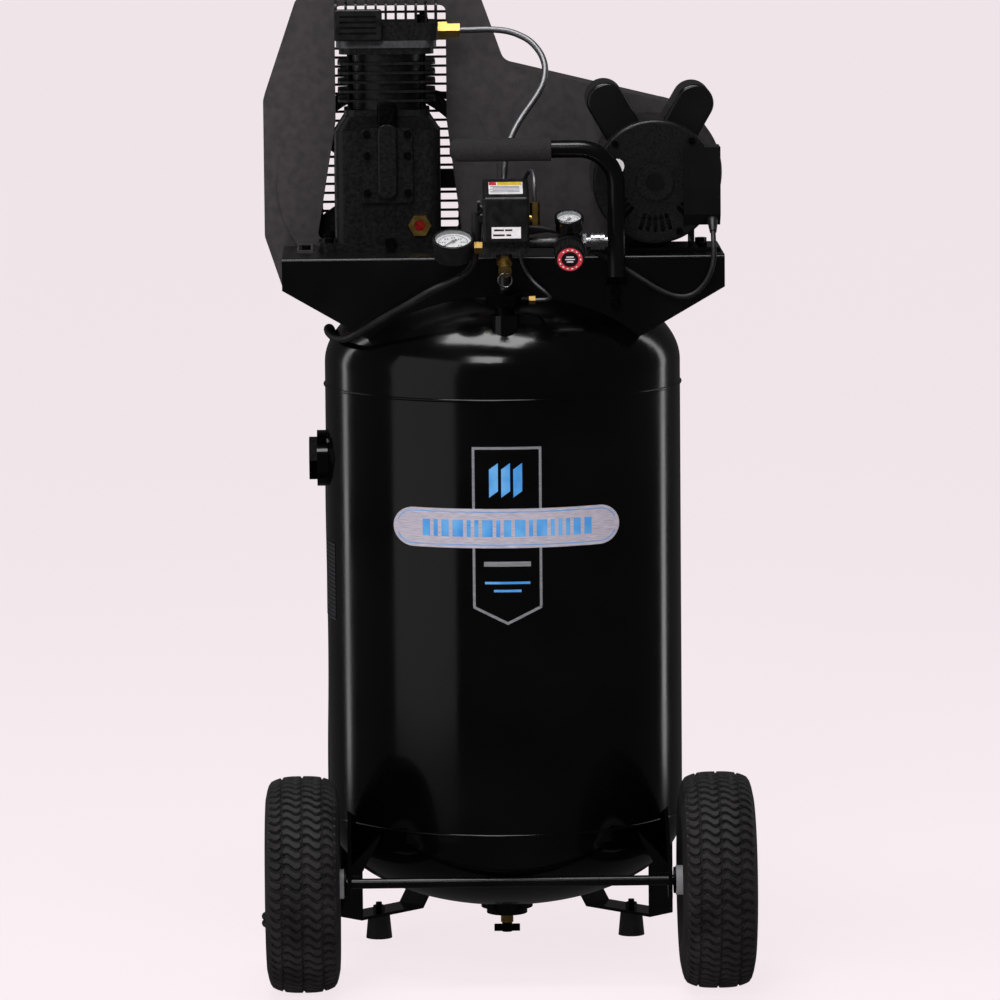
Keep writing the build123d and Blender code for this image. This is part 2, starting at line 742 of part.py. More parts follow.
stud_top = head_low + 22 + 9
with BuildPart() as pump_bolts:
    for x, z in cover_bolts_at:
        with Locations(Location((x, front_wall - cover_t - seat_gap, z), (90, 0, 0))):
            Cylinder(4.8, 4.5, align=(Align.CENTER, Align.CENTER, Align.MIN))
            Cylinder(2.5, 14, align=(Align.CENTER, Align.CENTER, Align.MAX))
    for x, y in studs_at:
        with Locations((x, y, neck_top - 10)):
            Cylinder(3.5, stud_top - neck_top + 10, align=(Align.CENTER, Align.CENTER, Align.MIN))
        with BuildSketch(Plane.XY.offset(head_low + 22 + seat_gap)):
            with Locations((x, y)):
                RegularPolygon(7, 6)
        extrude(amount=6.5)
    for x, y in pump_bolts_at:
        with BuildSketch(Plane.XY.offset(platform_z + base_t + seat_gap)):
            with Locations((x, y)):
                RegularPolygon(7.5, 6)
        extrude(amount=6)
        with Locations((x, y, platform_z + base_t + 4)):
            Cylinder(bolt_r, base_t + plate_t + 12, align=(Align.CENTER, Align.CENTER, Align.MAX))
        with BuildSketch(Plane.XY.offset(platform_z - plate_t - seat_gap)):
            with Locations((x, y)):
                RegularPolygon(7.5, 6)
        extrude(amount=-6)
pump_bolts.part.label = "pump_bolts"
export_step(pump_bolts.part, "parts/pump_bolts.step")

with BuildPart() as sight_glass:
    with BuildSketch(front_plane(front_wall - seat_gap)):
        with Locations((sight_at[0], sight_at[1])):
            RegularPolygon(12.5, 6, major_radius=False)
    extrude(amount=6)
    with Locations(Location((sight_at[0], front_wall + 8, sight_at[1]), (90, 0, 0))):
        Cylinder(sight_r - seat_gap, 9, align=(Align.CENTER, Align.CENTER, Align.MIN))
    with BuildSketch(front_plane(front_wall - 3)):
        with Locations((sight_at[0], sight_at[1])):
            Circle(7)
    extrude(amount=8, mode=Mode.SUBTRACT)
sight_glass.part.label = "sight_glass"
export_step(sight_glass.part, "parts/sight_glass.step")

plug_af = 25.5
with BuildPart() as pipe_plugs:
    # hexagon plug of the tank's inspection port
    with BuildSketch(Plane.YZ.offset(-tank_r - port_reach - seat_gap)):
        with Locations((tank_y, port_z)):
            RegularPolygon(plug_af, 6, major_radius=False)
    extrude(amount=-10)
    with Locations(Location((-tank_r - port_reach - 1, tank_y, port_z), (0, 90, 0))):
        Cylinder(port_hole_r - seat_gap, 12, align=(Align.CENTER, Align.CENTER, Align.MIN))
    # oil drain plug of the crankcase
    with Locations(Location((drain_plug_at[0], front_wall + 8, drain_plug_at[1]), (90, 0, 0))):
        Cylinder(5 - seat_gap, 9, align=(Align.CENTER, Align.CENTER, Align.MIN))
    with BuildSketch(front_plane(front_wall - seat_gap)):
        with Locations(drain_plug_at):
            RegularPolygon(8, 6)
    extrude(amount=7)
    # oil filler with its vented cap, on top of the cover's rib
    with BuildSketch(Plane.XY.offset(filler_low + seat_gap)):
        with Locations((pump_x, front_wall - cover_t - rib_reach / 2)):
            RectangleRounded(rib_w, 14, 4)
    extrude(amount=filler_top - filler_low)
pipe_plugs.part.label = "pipe_plugs"
export_step(pipe_plugs.part, "parts/pipe_plugs.step")

web_front = pump_y + 12
web_t = 10
shaft_end = belt_y + 18
with BuildPart() as crankshaft:
    with BuildSketch(front_plane(shaft_end)):
        with Locations((pump_x, crank_z)):
            Circle(shaft_r)
    extrude(amount=shaft_end - web_front - web_t)
    with BuildSketch(front_plane(web_front + web_t)):
        with Locations((pump_x, crank_z)):
            Circle(17)
        with Locations((pump_x, crank_z + throw)):
            Circle(pin_r + 4)
        with Locations((pump_x, crank_z - 14)):
            RectangleRounded(62, 42, 12)
    extrude(amount=web_t)
    with BuildSketch(front_plane(web_front)):
        with Locations((pump_x, crank_z + throw)):
            Circle(pin_r)
    extrude(amount=rod_t + 4)
crankshaft.part.label = "crankshaft"
export_step(crankshaft.part, "parts/crankshaft.step")

small_end_r = 9
with BuildPart() as connecting_rod:
    with BuildSketch(front_plane(pump_y + rod_t / 2)):
        with Locations((pump_x, crank_z + throw)):
            Circle(pin_r + 6)
        with Locations((pump_x, crank_z + throw + rod_length)):
            Circle(small_end_r)
    extrude(amount=rod_t)
    with BuildSketch(front_plane(pump_y + rod_t / 4)):
        with Locations((pump_x, crank_z + throw + rod_length / 2)):
            Rectangle(11, rod_length - 16)
    extrude(amount=rod_t / 2)
    with BuildSketch(front_plane(pump_y + rod_t)):
        with Locations((pump_x, crank_z + throw)):
            Circle(pin_r + running_gap)
        with Locations((pump_x, crank_z + throw + rod_length)):
            Circle(small_end_r - 3)
    extrude(amount=2 * rod_t, mode=Mode.SUBTRACT)
connecting_rod.part.label = "connecting_rod"
export_step(connecting_rod.part, "parts/connecting_rod.step")

piston_top = cylinder_top - 1.5
piston_h = 44
skirt_r = throw + small_end_r + 2.5
with BuildPart() as piston:
    with BuildSketch(Plane.XY.offset(piston_top - piston_h)):
        with Locations((pump_x, pump_y)):
            Circle(bore_r - seat_gap)
    extrude(amount=piston_h)
    with BuildSketch(Plane.XY.offset(piston_top - piston_h)):
        with Locations((pump_x, pump_y)):
            Circle(skirt_r)
    extrude(amount=piston_h - 6, mode=Mode.SUBTRACT)
    for depth in (5, 11, 17):
        with BuildSketch(Plane.XY.offset(piston_top - depth)):
            with Locations((pump_x, pump_y)):
                Circle(bore_r)
                Circle(bore_r - 2, mode=Mode.SUBTRACT)
        extrude(amount=-2.4, mode=Mode.SUBTRACT)
piston.part.label = "piston"
export_step(piston.part, "parts/piston.step")

rear_bearing_y = nose_end - 1 - bearing_w
front_bearing_y = pump_y + crankcase_d / 2 - 14 + 1
motor_bearing_front = motor_front - 16
motor_bearing_back = motor_back + 4
bearing_race = 0.05
with BuildPart() as bearings:
    for x, z, inner_r, outer_r, wide, starts in (
        (pump_x, crank_z, shaft_r, bearing_r, bearing_w, (front_bearing_y, rear_bearing_y)),
        (
            motor_x,
            motor_z,
            motor_shaft_r,
            motor_bearing_r,
            motor_bearing_w,
            (motor_bearing_front, motor_bearing_back),
        ),
    ):
        for start in starts:
            with BuildSketch(front_plane(start + wide)):
                with Locations((x, z)):
                    Circle(outer_r)
                    Circle(inner_r + bearing_race, mode=Mode.SUBTRACT)
            extrude(amount=wide)
bearings.part.label = "bearings"
export_step(bearings.part, "parts/bearings.step")

# ---------------------------------------------------------------- drive

flywheel_hub_r = 24
flywheel_spokes = 5
rim_t = 16
with BuildPart() as flywheel:
    with BuildSketch(front_plane(belt_y + flywheel_w / 2)):
        with Locations((pump_x, crank_z)):
            Circle(flywheel_r)
            Circle(flywheel_r - rim_t, mode=Mode.SUBTRACT)
    extrude(amount=flywheel_w)
    with BuildSketch(front_plane(belt_y + flywheel_w / 2 + 2)):
        with Locations((pump_x, crank_z)):
            Circle(flywheel_hub_r)
    extrude(amount=flywheel_w + 8)
    for i in range(flywheel_spokes):
        turn = radians(i * 360 / flywheel_spokes)
        reach = (flywheel_hub_r + flywheel_r - rim_t) / 2
        with BuildSketch(front_plane(belt_y + 7)):
            with Locations(
                Location((pump_x + reach * cos(turn), crank_z + reach * sin(turn), 0), (0, 0, degrees(turn)))
            ):
                Rectangle(flywheel_r - rim_t - flywheel_hub_r + 12, 24)
        extrude(amount=14)
    groove_plane = Plane(origin=(pump_x, belt_y, crank_z), x_dir=(0, 1, 0), z_dir=(1, 0, 0))
    with BuildSketch(groove_plane):
        Polygon(
            (-belt_w / 2 - 0.5, flywheel_r + 1),
            (belt_w / 2 + 0.5, flywheel_r + 1),
            (belt_low_w / 2 + 0.1, flywheel_r - groove_depth),
            (-belt_low_w / 2 - 0.1, flywheel_r - groove_depth),
            align=None,
        )
    revolve(axis=Axis((pump_x, 0, crank_z), (0, 1, 0)), mode=Mode.SUBTRACT)
    with Locations(Location((pump_x, belt_y, crank_z), (90, 0, 0))):
        Cylinder(shaft_r + seat_gap, 80, mode=Mode.SUBTRACT)
flywheel.part.label = "flywheel"
export_step(flywheel.part, "parts/flywheel.step")

with BuildPart() as motor_pulley:
    with BuildSketch(front_plane(belt_y + pulley_w / 2)):
        with Locations((motor_x, motor_z)):
            Circle(pulley_r)
    extrude(amount=pulley_w)
    with BuildSketch(Plane(origin=(motor_x, belt_y, motor_z), x_dir=(0, 1, 0), z_dir=(1, 0, 0))):
        Polygon(
            (-belt_w / 2 - 0.5, pulley_r + 1),
            (belt_w / 2 + 0.5, pulley_r + 1),
            (belt_low_w / 2 + 0.1, pulley_r - groove_depth),
            (-belt_low_w / 2 - 0.1, pulley_r - groove_depth),
            align=None,
        )
    revolve(axis=Axis((motor_x, 0, motor_z), (0, 1, 0)), mode=Mode.SUBTRACT)
    with Locations(Location((motor_x, belt_y, motor_z), (90, 0, 0))):
        Cylinder(motor_shaft_r + seat_gap, 80, mode=Mode.SUBTRACT)
motor_pulley.part.label = "motor_pulley"
export_step(motor_pulley.part, "parts/motor_pulley.step")

# the belt runs in both grooves with a small gap at its sides, its back a little below the rims
belt_sink = 0.6
span_x = motor_x - pump_x
span_z = motor_z - crank_z
span = hypot(span_x, span_z)
mid_big = flywheel_r - belt_sink - belt_h / 2
mid_small = pulley_r - belt_sink - belt_h / 2
lean = atan2(span_z, span_x)
spread = atan2(sqrt(span**2 - (mid_big - mid_small) ** 2), mid_big - mid_small)


def on_circle(x, z, radius, angle):
    """Point of a circle in the plane of the belt."""
    return (x + radius * cos(angle), z + radius * sin(angle))


big_top = on_circle(pump_x, crank_z, mid_big, lean + spread)
big_far = on_circle(pump_x, crank_z, mid_big, lean + radians(180))
big_low = on_circle(pump_x, crank_z, mid_big, lean - spread)
small_top = on_circle(motor_x, motor_z, mid_small, lean + spread)
small_far = on_circle(motor_x, motor_z, mid_small, lean)
small_low = on_circle(motor_x, motor_z, mid_small, lean - spread)
top_run = (small_top[0] - big_top[0], 0, small_top[1] - big_top[1])
with BuildPart() as drive_belt:
    with BuildLine(front_plane(belt_y)) as belt_loop:
        Line(big_top, small_top)
        ThreePointArc(small_top, small_far, small_low)
        Line(small_low, big_low)
        ThreePointArc(big_low, big_far, big_top)
    belt_start = Plane(origin=(big_top[0], belt_y, big_top[1]), x_dir=(0, 1, 0), z_dir=top_run)
    with BuildSketch(belt_start):
        Polygon(
            (-belt_w / 2 + 0.2, belt_h / 2),
            (belt_w / 2 - 0.2, belt_h / 2),
            (belt_low_w / 2 - 0.2, -belt_h / 2),
            (-belt_low_w / 2 + 0.2, -belt_h / 2),
            align=None,
        )
    sweep(path=belt_loop.line)
drive_belt.part.label = "drive_belt"
export_step(drive_belt.part, "parts/drive_belt.step")

# ---------------------------------------------------------------- belt guard

pulley_cover_r = 92
guard_split = belt_y - 14
guard_low = 850
guard_mid_low = 886
opening_top = 1214
opening_low = 918
opening_bend = 1068
slot_pitch = 11.6
slot_h = 8.4
slot_rows = 25
slot_left = -226
slot_right = -52

with BuildSketch() as guard_shape:
    near_top = (motor_x + 15.6, motor_z + 90.7)
    near_low = (motor_x - 21, motor_z - 89.6)
    with BuildLine():
        FilletPolyline(
            near_low,
            (60, guard_mid_low),
            (-30, guard_mid_low),
            (-100, 866.5),
            (-150, guard_low + 1),
            (-276, guard_low),
            (-300, 922),
            (-300, 1096),
            (-257, 1222),
            (-22, 1222),
            (8, 1138),
            near_top,
            radius=(30, 30, 60, 60, 14, 20, 20, 14, 12, 16),
        )
        ThreePointArc(near_top, (motor_x + pulley_cover_r, motor_z), near_low)
    make_face()

with BuildSketch() as guard_inside:
    add(guard_shape.sketch)
    offset(amount=-guard_t, mode=Mode.REPLACE)

with BuildSketch() as guard_core:
    add(guard_inside.sketch)
    offset(amount=-guard_t, mode=Mode.REPLACE)

with BuildPart() as belt_guard_front:
    with BuildSketch(front_plane(guard_split)):
        add(guard_shape.sketch)
    extrude(amount=guard_split - guard_front)
    with BuildSketch(front_plane(guard_split)):
        add(guard_inside.sketch)
    extrude(amount=guard_split - guard_front - guard_t, mode=Mode.SUBTRACT)
    with BuildSketch(front_plane(guard_front)):
        with Locations((pump_x, crank_z)):
            Circle(guard_bulge_r)
        add(guard_inside.sketch, mode=Mode.INTERSECT)
    extrude(amount=guard_bulge)
    with BuildSketch(front_plane(guard_front + guard_t)):
        with Locations((pump_x, crank_z)):
            Circle(guard_bulge_r - guard_t)
        add(guard_core.sketch, mode=Mode.INTERSECT)
    extrude(amount=guard_bulge, mode=Mode.SUBTRACT)
    with BuildSketch(front_plane(guard_split)):
        with BuildLine():
            FilletPolyline(
                (-208, opening_top),
                (-67, opening_top),
                (-67, opening_bend),
                (-48, opening_low),
                (-233, opening_low),
                (-208, opening_bend),
                radius=8,
                close=True,
            )
        make_face()
        with Locations((motor_x, motor_z)):
            Circle(16)
        with Locations(*[(x, guard_bolt_z) for x, _ in guard_bolts_at]):
            Circle(hole_r)
    extrude(amount=60, mode=Mode.SUBTRACT)
    # the tab that is bolted down to the platform
    with BuildSketch(Plane.XY.offset(platform_z + seat_gap)):
        with Locations((guard_tab_bolt[0], (guard_tab_bolt[1] - 10 + guard_front - 2) / 2)):
            Rectangle(20, guard_front - 2 - guard_tab_bolt[1] + 10)
        with Locations(guard_tab_bolt):
            Circle(hole_r, mode=Mode.SUBTRACT)
    extrude(amount=3)
belt_guard_front.part.label = "belt_guard_front"
export_step(belt_guard_front.part, "parts/belt_guard_front.step")

with BuildPart() as belt_guard_back:
    with BuildSketch(front_plane(guard_back)):
        add(guard_shape.sketch)
    extrude(amount=guard_back - guard_split - seat_gap)
    with BuildSketch(front_plane(guard_back - guard_t)):
        add(guard_inside.sketch)
    extrude(amount=guard_back - guard_split, mode=Mode.SUBTRACT)
    with BuildSketch(front_plane(guard_back + 1)):
        with Locations(((slot_left + slot_right) / 2, (925 + 1210) / 2)):
            with GridLocations(0, slot_pitch, 1, slot_rows):
                RectangleRounded(slot_right - slot_left, slot_h, 1.5)
    extrude(amount=guard_t + 2, mode=Mode.SUBTRACT)
belt_guard_back.part.label = "belt_guard_back"
export_step(belt_guard_back.part, "parts/belt_guard_back.step")

# ---------------------------------------------------------------- motor

base_half = motor_bolt_x + 21
base_plate_t = 4
cradle_x = 48
bell_wall = 5
bell_bolt_r = 69
bell_bolt_turns = (48, 136, 225, 296)
vent_r = 52
vent_turns = [group + 9 * step for group in (210, 270, 330) for step in (-2, -1, 0, 1, 2)]
with BuildPart() as motor_shell:
    with BuildSketch(front_plane(motor_back)):
        with Locations((motor_x, motor_z)):
            Circle(motor_r)
    extrude(amount=motor_back - motor_front)
    with BuildSketch(front_plane(motor_foot_back)):
        with Locations((motor_x, platform_z + base_plate_t / 2)):
            Rectangle(2 * base_half, base_plate_t)
        for x in (motor_x - cradle_x, motor_x + cradle_x):
            with Locations((x, (platform_z + motor_z - cradle_x) / 2)):
                Rectangle(base_plate_t, motor_z - cradle_x - platform_z)
    extrude(amount=motor_foot_back - motor_foot_front)
    with BuildSketch(front_plane(motor_back)):
        with Locations((motor_x, motor_z)):
            Circle(motor_r - motor_shell_t)
    extrude(amount=motor_back - motor_front, mode=Mode.SUBTRACT)
    with Locations(*[(x, y, platform_z) for x, y in motor_bolts_at]):
        Cylinder(hole_r, 4 * base_plate_t, mode=Mode.SUBTRACT)
motor_shell.part.label = "motor_shell"
export_step(motor_shell.part, "parts/motor_shell.step")

boss_reach = 5
with BuildPart() as motor_end_bells:
    for start, lip, end in (
        (motor_front - seat_gap, 0, motor_front - bell_depth),
        (motor_back + bell_depth, -1, motor_back + seat_gap),
    ):
        with BuildSketch(front_plane(start)):
            with Locations((motor_x, motor_z)):
                Circle(motor_r)
        extrude(amount=start - end)
        fillet(motor_end_bells.faces().sort_by(Axis.Y)[lip].edges(), radius=4)
    with BuildSketch(front_plane(motor_front - bell_depth)):
        with Locations((motor_x, motor_z)):
            Circle(23)
    extrude(amount=boss_reach)
    with BuildSketch(front_plane(motor_back + bell_depth - bell_wall)):
        with Locations((motor_x, motor_z)):
            Circle(motor_r - 8)
            Circle(motor_bearing_r + 5, mode=Mode.SUBTRACT)
    extrude(amount=motor_back - motor_front + 2 * (bell_depth - bell_wall), mode=Mode.SUBTRACT)
    with BuildSketch(front_plane(motor_bearing_back + motor_bearing_w)):
        with Locations((motor_x, motor_z)):
            Circle(motor_bearing_r + seat_gap)
    extrude(amount=motor_bearing_back + motor_bearing_w - motor_bearing_front, mode=Mode.SUBTRACT)
    with BuildSketch(front_plane(motor_back + bell_depth)):
        with Locations((motor_x, motor_z)):
            Circle(motor_shaft_r + 1.5)
    extrude(amount=bell_depth, mode=Mode.SUBTRACT)
    with BuildSketch(front_plane(motor_front - 1)):
        with Locations(
            *[
                Location((motor_x + vent_r * cos(radians(t)), motor_z + vent_r * sin(radians(t)), 0), (0, 0, t))
                for t in vent_turns
            ]
        ):
            SlotOverall(22, 5)
        with Locations(
            *[
                (motor_x + bell_bolt_r * cos(radians(t)), motor_z + bell_bolt_r * sin(radians(t)))
                for t in bell_bolt_turns
            ]
        ):
            Circle(2.6)
    extrude(amount=2 * bell_depth, mode=Mode.SUBTRACT)
motor_end_bells.part.label = "motor_end_bells"
export_step(motor_end_bells.part, "parts/motor_end_bells.step")

core_front = motor_front + 20
core_back = motor_back - 20
with BuildPart() as stator:
    for front, back, inner_r, outer_r in (
        (core_front, core_back, rotor_r + rotor_gap, motor_r - motor_shell_t - seat_gap),
        (core_front - 12, core_back + 12, rotor_r + 6, motor_r - 14),
    ):
        with BuildSketch(front_plane(back)):
            with Locations((motor_x, motor_z)):
                Circle(outer_r)
                Circle(inner_r, mode=Mode.SUBTRACT)
        extrude(amount=back - front)
stator.part.label = "stator"
export_step(stator.part, "parts/stator.step")

motor_shaft_end = belt_y + 21
with BuildPart() as motor_rotor:
    with BuildSketch(front_plane(core_back)):
        with Locations((motor_x, motor_z)):
            Circle(rotor_r)
    extrude(amount=core_back - core_front)
    with BuildSketch(front_plane(motor_shaft_end)):
        with Locations((motor_x, motor_z)):
            Circle(motor_shaft_r)
    extrude(amount=motor_shaft_end - motor_bearing_front - 1)
motor_rotor.part.label = "motor_rotor"
export_step(motor_rotor.part, "parts/motor_rotor.step")

capacitor_tops = (((131, 1098), -60), ((242, 1095), -120))
capacitor_r = 24
capacitor_run = 45
box_left = 226
box_right = 272
box_front = tank_y - 112
box_back = tank_y - 60
box_low = 945
box_high = 1043
box_chamfer = 14
with BuildPart() as motor_covers:
    for (x, z), lean_to in capacitor_tops:
        half = capacitor_run / 2
        middle = (x + half * cos(radians(lean_to)), z + half * sin(radians(lean_to)), 0)
        with BuildSketch(front_plane(motor_back - 4)):
            with Locations(Location(middle, (0, 0, lean_to))):
                SlotCenterToCenter(capacitor_run, 2 * capacitor_r)
        extrude(amount=motor_back - 4 - motor_front - 3)
    fillet(motor_covers.faces().sort_by(Axis.Y)[:2].edges(), radius=5)
    with BuildSketch(Plane.YZ.offset(box_left)):
        Polygon(
            (box_front, box_low + box_chamfer),
            (box_front, box_high),
            (box_back, box_high),
            (box_back, box_low),
            (box_front + box_chamfer, box_low),
            align=None,
        )
    extrude(amount=box_right - box_left)
    with BuildSketch(front_plane(motor_back + bell_depth)):
        with Locations((motor_x, motor_z)):
            Circle(motor_r + seat_gap)
    extrude(amount=motor_back - motor_front + 2 * bell_depth + seat_gap, mode=Mode.SUBTRACT)
    # cap over the middle of the front bell
    with BuildSketch(front_plane(motor_front - bell_depth - boss_reach - seat_gap)):
        with Locations((motor_x, motor_z)):
            Circle(11)
    extrude(amount=2)
motor_covers.part.label = "motor_covers"
export_step(motor_covers.part, "parts/motor_covers.step")

# ---------------------------------------------------------------- controls


def from_tank(x, y, z):
    """A place given by its distances from the tank axis and the floor."""
    return (x, tank_y + y, z)


check_low = boss_top + 11
check_high = check_low + 14
check_collar = check_high + 6
check_port_z = check_low + 7
check_back = riser_y + 21
check_right = 30
with BuildPart() as check_valve:
    with BuildSketch(Plane.XY.offset(check_low)):
        with Locations((0, riser_y)):
            RegularPolygon(20, 6, major_radius=False)
    extrude(amount=check_high - check_low)
    for low, high, radius in (
        (boss_top - 24, check_low, check_port_r - 0.1),
        (boss_top + seat_gap, check_low, check_port_r + 4),
        (check_high, check_collar, 10),
    ):
        with BuildSketch(Plane.XY.offset(low)):
            with Locations((0, riser_y)):
                Circle(radius)
        extrude(amount=high - low)
    with BuildSketch(front_plane(check_back)):
        with Locations((0, check_port_z)):
            Circle(6.5)
    extrude(amount=check_back - riser_y)
    with BuildSketch(Plane.YZ.offset(check_right)):
        with Locations((riser_y, check_port_z)):
            Circle(5)
    extrude(amount=-check_right)
    with BuildSketch(Plane.XY.offset(check_collar)):
        with Locations((0, riser_y)):
            Circle(4.5)
    extrude(amount=boss_top - 24 - check_collar, mode=Mode.SUBTRACT)
    with BuildSketch(front_plane(check_back)):
        with Locations((0, check_port_z)):
            Circle(discharge_r + seat_gap)
    extrude(amount=check_back - riser_y, mode=Mode.SUBTRACT)
    with BuildSketch(Plane.YZ.offset(check_right)):
        with Locations((riser_y, check_port_z)):
            Circle(unloader_r + seat_gap)
    extrude(amount=-check_right, mode=Mode.SUBTRACT)
check_valve.part.label = "check_valve"
export_step(check_valve.part, "parts/check_valve.step")

manifold_low = 919
manifold_left = -27
manifold_right = 31
pipe_end = 64
switch_x = 2.3
relief_base = (0, riser_y - 4, 915)
relief_boss = 12
with BuildPart() as manifold:
    for low, high, radius in (
        (check_collar + seat_gap, manifold_low - 14, riser_r),
        (manifold_low - 14, manifold_low, 10),
    ):
        with BuildSketch(Plane.XY.offset(low)):
            with Locations((0, riser_y)):
                Circle(radius)
        extrude(amount=high - low)
    with BuildSketch(Plane.XY.offset(manifold_low)):
        with Locations(((manifold_left + manifold_right) / 2, riser_y)):
            Rectangle(manifold_right - manifold_left, 24)
    extrude(amount=switch_low - seat_gap - manifold_low)
    # seat that the pressure switch's cover closes over
    with BuildSketch(Plane.XY.offset(switch_low - seat_gap)):
        with Locations((switch_x, (switch_front + switch_back) / 2)):
            Rectangle(
                2 * (switch_half - cover_wall - body_gap),
                switch_back - switch_front - 2 * (cover_wall + body_gap),
            )
    extrude(amount=3)
    with BuildSketch(Plane.YZ.offset(manifold_right)):
        with Locations((riser_y, regulator_z)):
            Circle(6.7)
    extrude(amount=pipe_end - seat_gap - manifold_right)
    with BuildSketch(line_plane(relief_base, knob_dir)):
        Circle(8)
    extrude(amount=relief_boss)
manifold.part.label = "manifold"
export_step(manifold.part, "parts/manifold.step")

lever_y = riser_y
lever_z = 975
lever_pin_r = 2.5
with BuildPart() as switch_cover:
    with BuildSketch(Plane.YZ.offset(switch_x - switch_half)):
        Polygon(
            (switch_front, switch_low),
            (switch_front, switch_lip),
            (switch_back, switch_top),
            (switch_back, switch_low),
            align=None,
        )
    extrude(amount=2 * switch_half)
    fillet(switch_cover.edges() - switch_cover.edges().group_by(Axis.Z)[0], radius=4)
    with BuildSketch(Plane.YZ.offset(switch_x - switch_half + cover_wall)):
        Polygon(
            (switch_front + cover_wall, switch_low - 1),
            (switch_front + cover_wall, switch_lip - cover_wall),
            (switch_back - cover_wall, switch_top - cover_wall - 1),
            (switch_back - cover_wall, switch_low - 1),
            align=None,
        )
    extrude(amount=2 * (switch_half - cover_wall), mode=Mode.SUBTRACT)
    with Locations(Location((switch_x - switch_half, lever_y, lever_z), (0, 90, 0))):
        Cylinder(lever_pin_r + running_gap, 4 * cover_wall, mode=Mode.SUBTRACT)
switch_cover.part.label = "switch_cover"
export_step(switch_cover.part, "parts/switch_cover.step")

lever_out = -33
lever_hub_r = 6
lever_reach = 16
lever_turn = 150
with BuildPart() as switch_lever:
    with BuildSketch(Plane.YZ.offset(lever_out)):
        with Locations((lever_y, lever_z)):
            Circle(lever_hub_r)
    extrude(amount=switch_x - switch_half - body_gap - lever_out)
    with BuildSketch(Plane.YZ.offset(lever_out)):
        lever_angle = radians(lever_turn)
        lever_middle = (lever_y + lever_reach / 2 * cos(lever_angle), lever_z + lever_reach / 2 * sin(lever_angle))
        with Locations(Location((*lever_middle, 0), (0, 0, lever_turn))):
            SlotCenterToCenter(lever_reach, 8)
    extrude(amount=3.5)
    with BuildSketch(Plane.YZ.offset(lever_out + 1)):
        with Locations((lever_y, lever_z)):
            Circle(lever_pin_r)
    extrude(amount=switch_x - switch_half + 8 - lever_out)
switch_lever.part.label = "switch_lever"
export_step(switch_lever.part, "parts/switch_lever.step")

# pressure regulator: its middle is where the knob's, the gauge's and the pipe's axes meet
regulator_at = (regulator_x, riser_y, regulator_z)
regulator_right = 97
regulator_back = 16
regulator_front = 18
spindle_r = 4
gauge_boss = 15
gauge_back = 19
with BuildPart() as regulator_body:
    with BuildSketch(line_plane(along(regulator_at, knob_dir, -regulator_back), knob_dir)):
        Circle(14)
    extrude(amount=regulator_back + regulator_front)
    fillet(regulator_body.edges(), radius=2)
    with BuildSketch(line_plane(along(regulator_at, knob_dir, regulator_front - 2), knob_dir)):
        Circle(spindle_r)
    extrude(amount=18)
    with BuildSketch(line_plane(regulator_at, gauge_dir)):
        Circle(8)
    extrude(amount=gauge_boss)
    with BuildSketch(Plane.YZ.offset(pipe_end)):
        with Locations((riser_y, regulator_z)):
            Circle(9)
    extrude(amount=regulator_right - pipe_end)
regulator_body.part.label = "regulator_body"
export_step(regulator_body.part, "parts/regulator_body.step")

knob_start = 18.5
knob_end = 46
with BuildPart() as regulator_knob:
    for start, end, radius in ((knob_start, 24, 19.5), (24, 43, 18.5), (43, knob_end, 17)):
        with BuildSketch(line_plane(along(regulator_at, knob_dir, start), knob_dir)):
            Circle(radius)
        extrude(amount=end - start)
    with BuildSketch(line_plane(along(regulator_at, knob_dir, 25.5), knob_dir)):
        with PolarLocations(19.3, 24):
            Circle(1.6)
    extrude(amount=knob_end - 25, mode=Mode.SUBTRACT)
    with BuildSketch(line_plane(along(regulator_at, knob_dir, knob_start), knob_dir)):
        Circle(spindle_r + running_gap)
    extrude(amount=18, mode=Mode.SUBTRACT)
regulator_knob.part.label = "regulator_knob"
export_step(regulator_knob.part, "parts/regulator_knob.step")

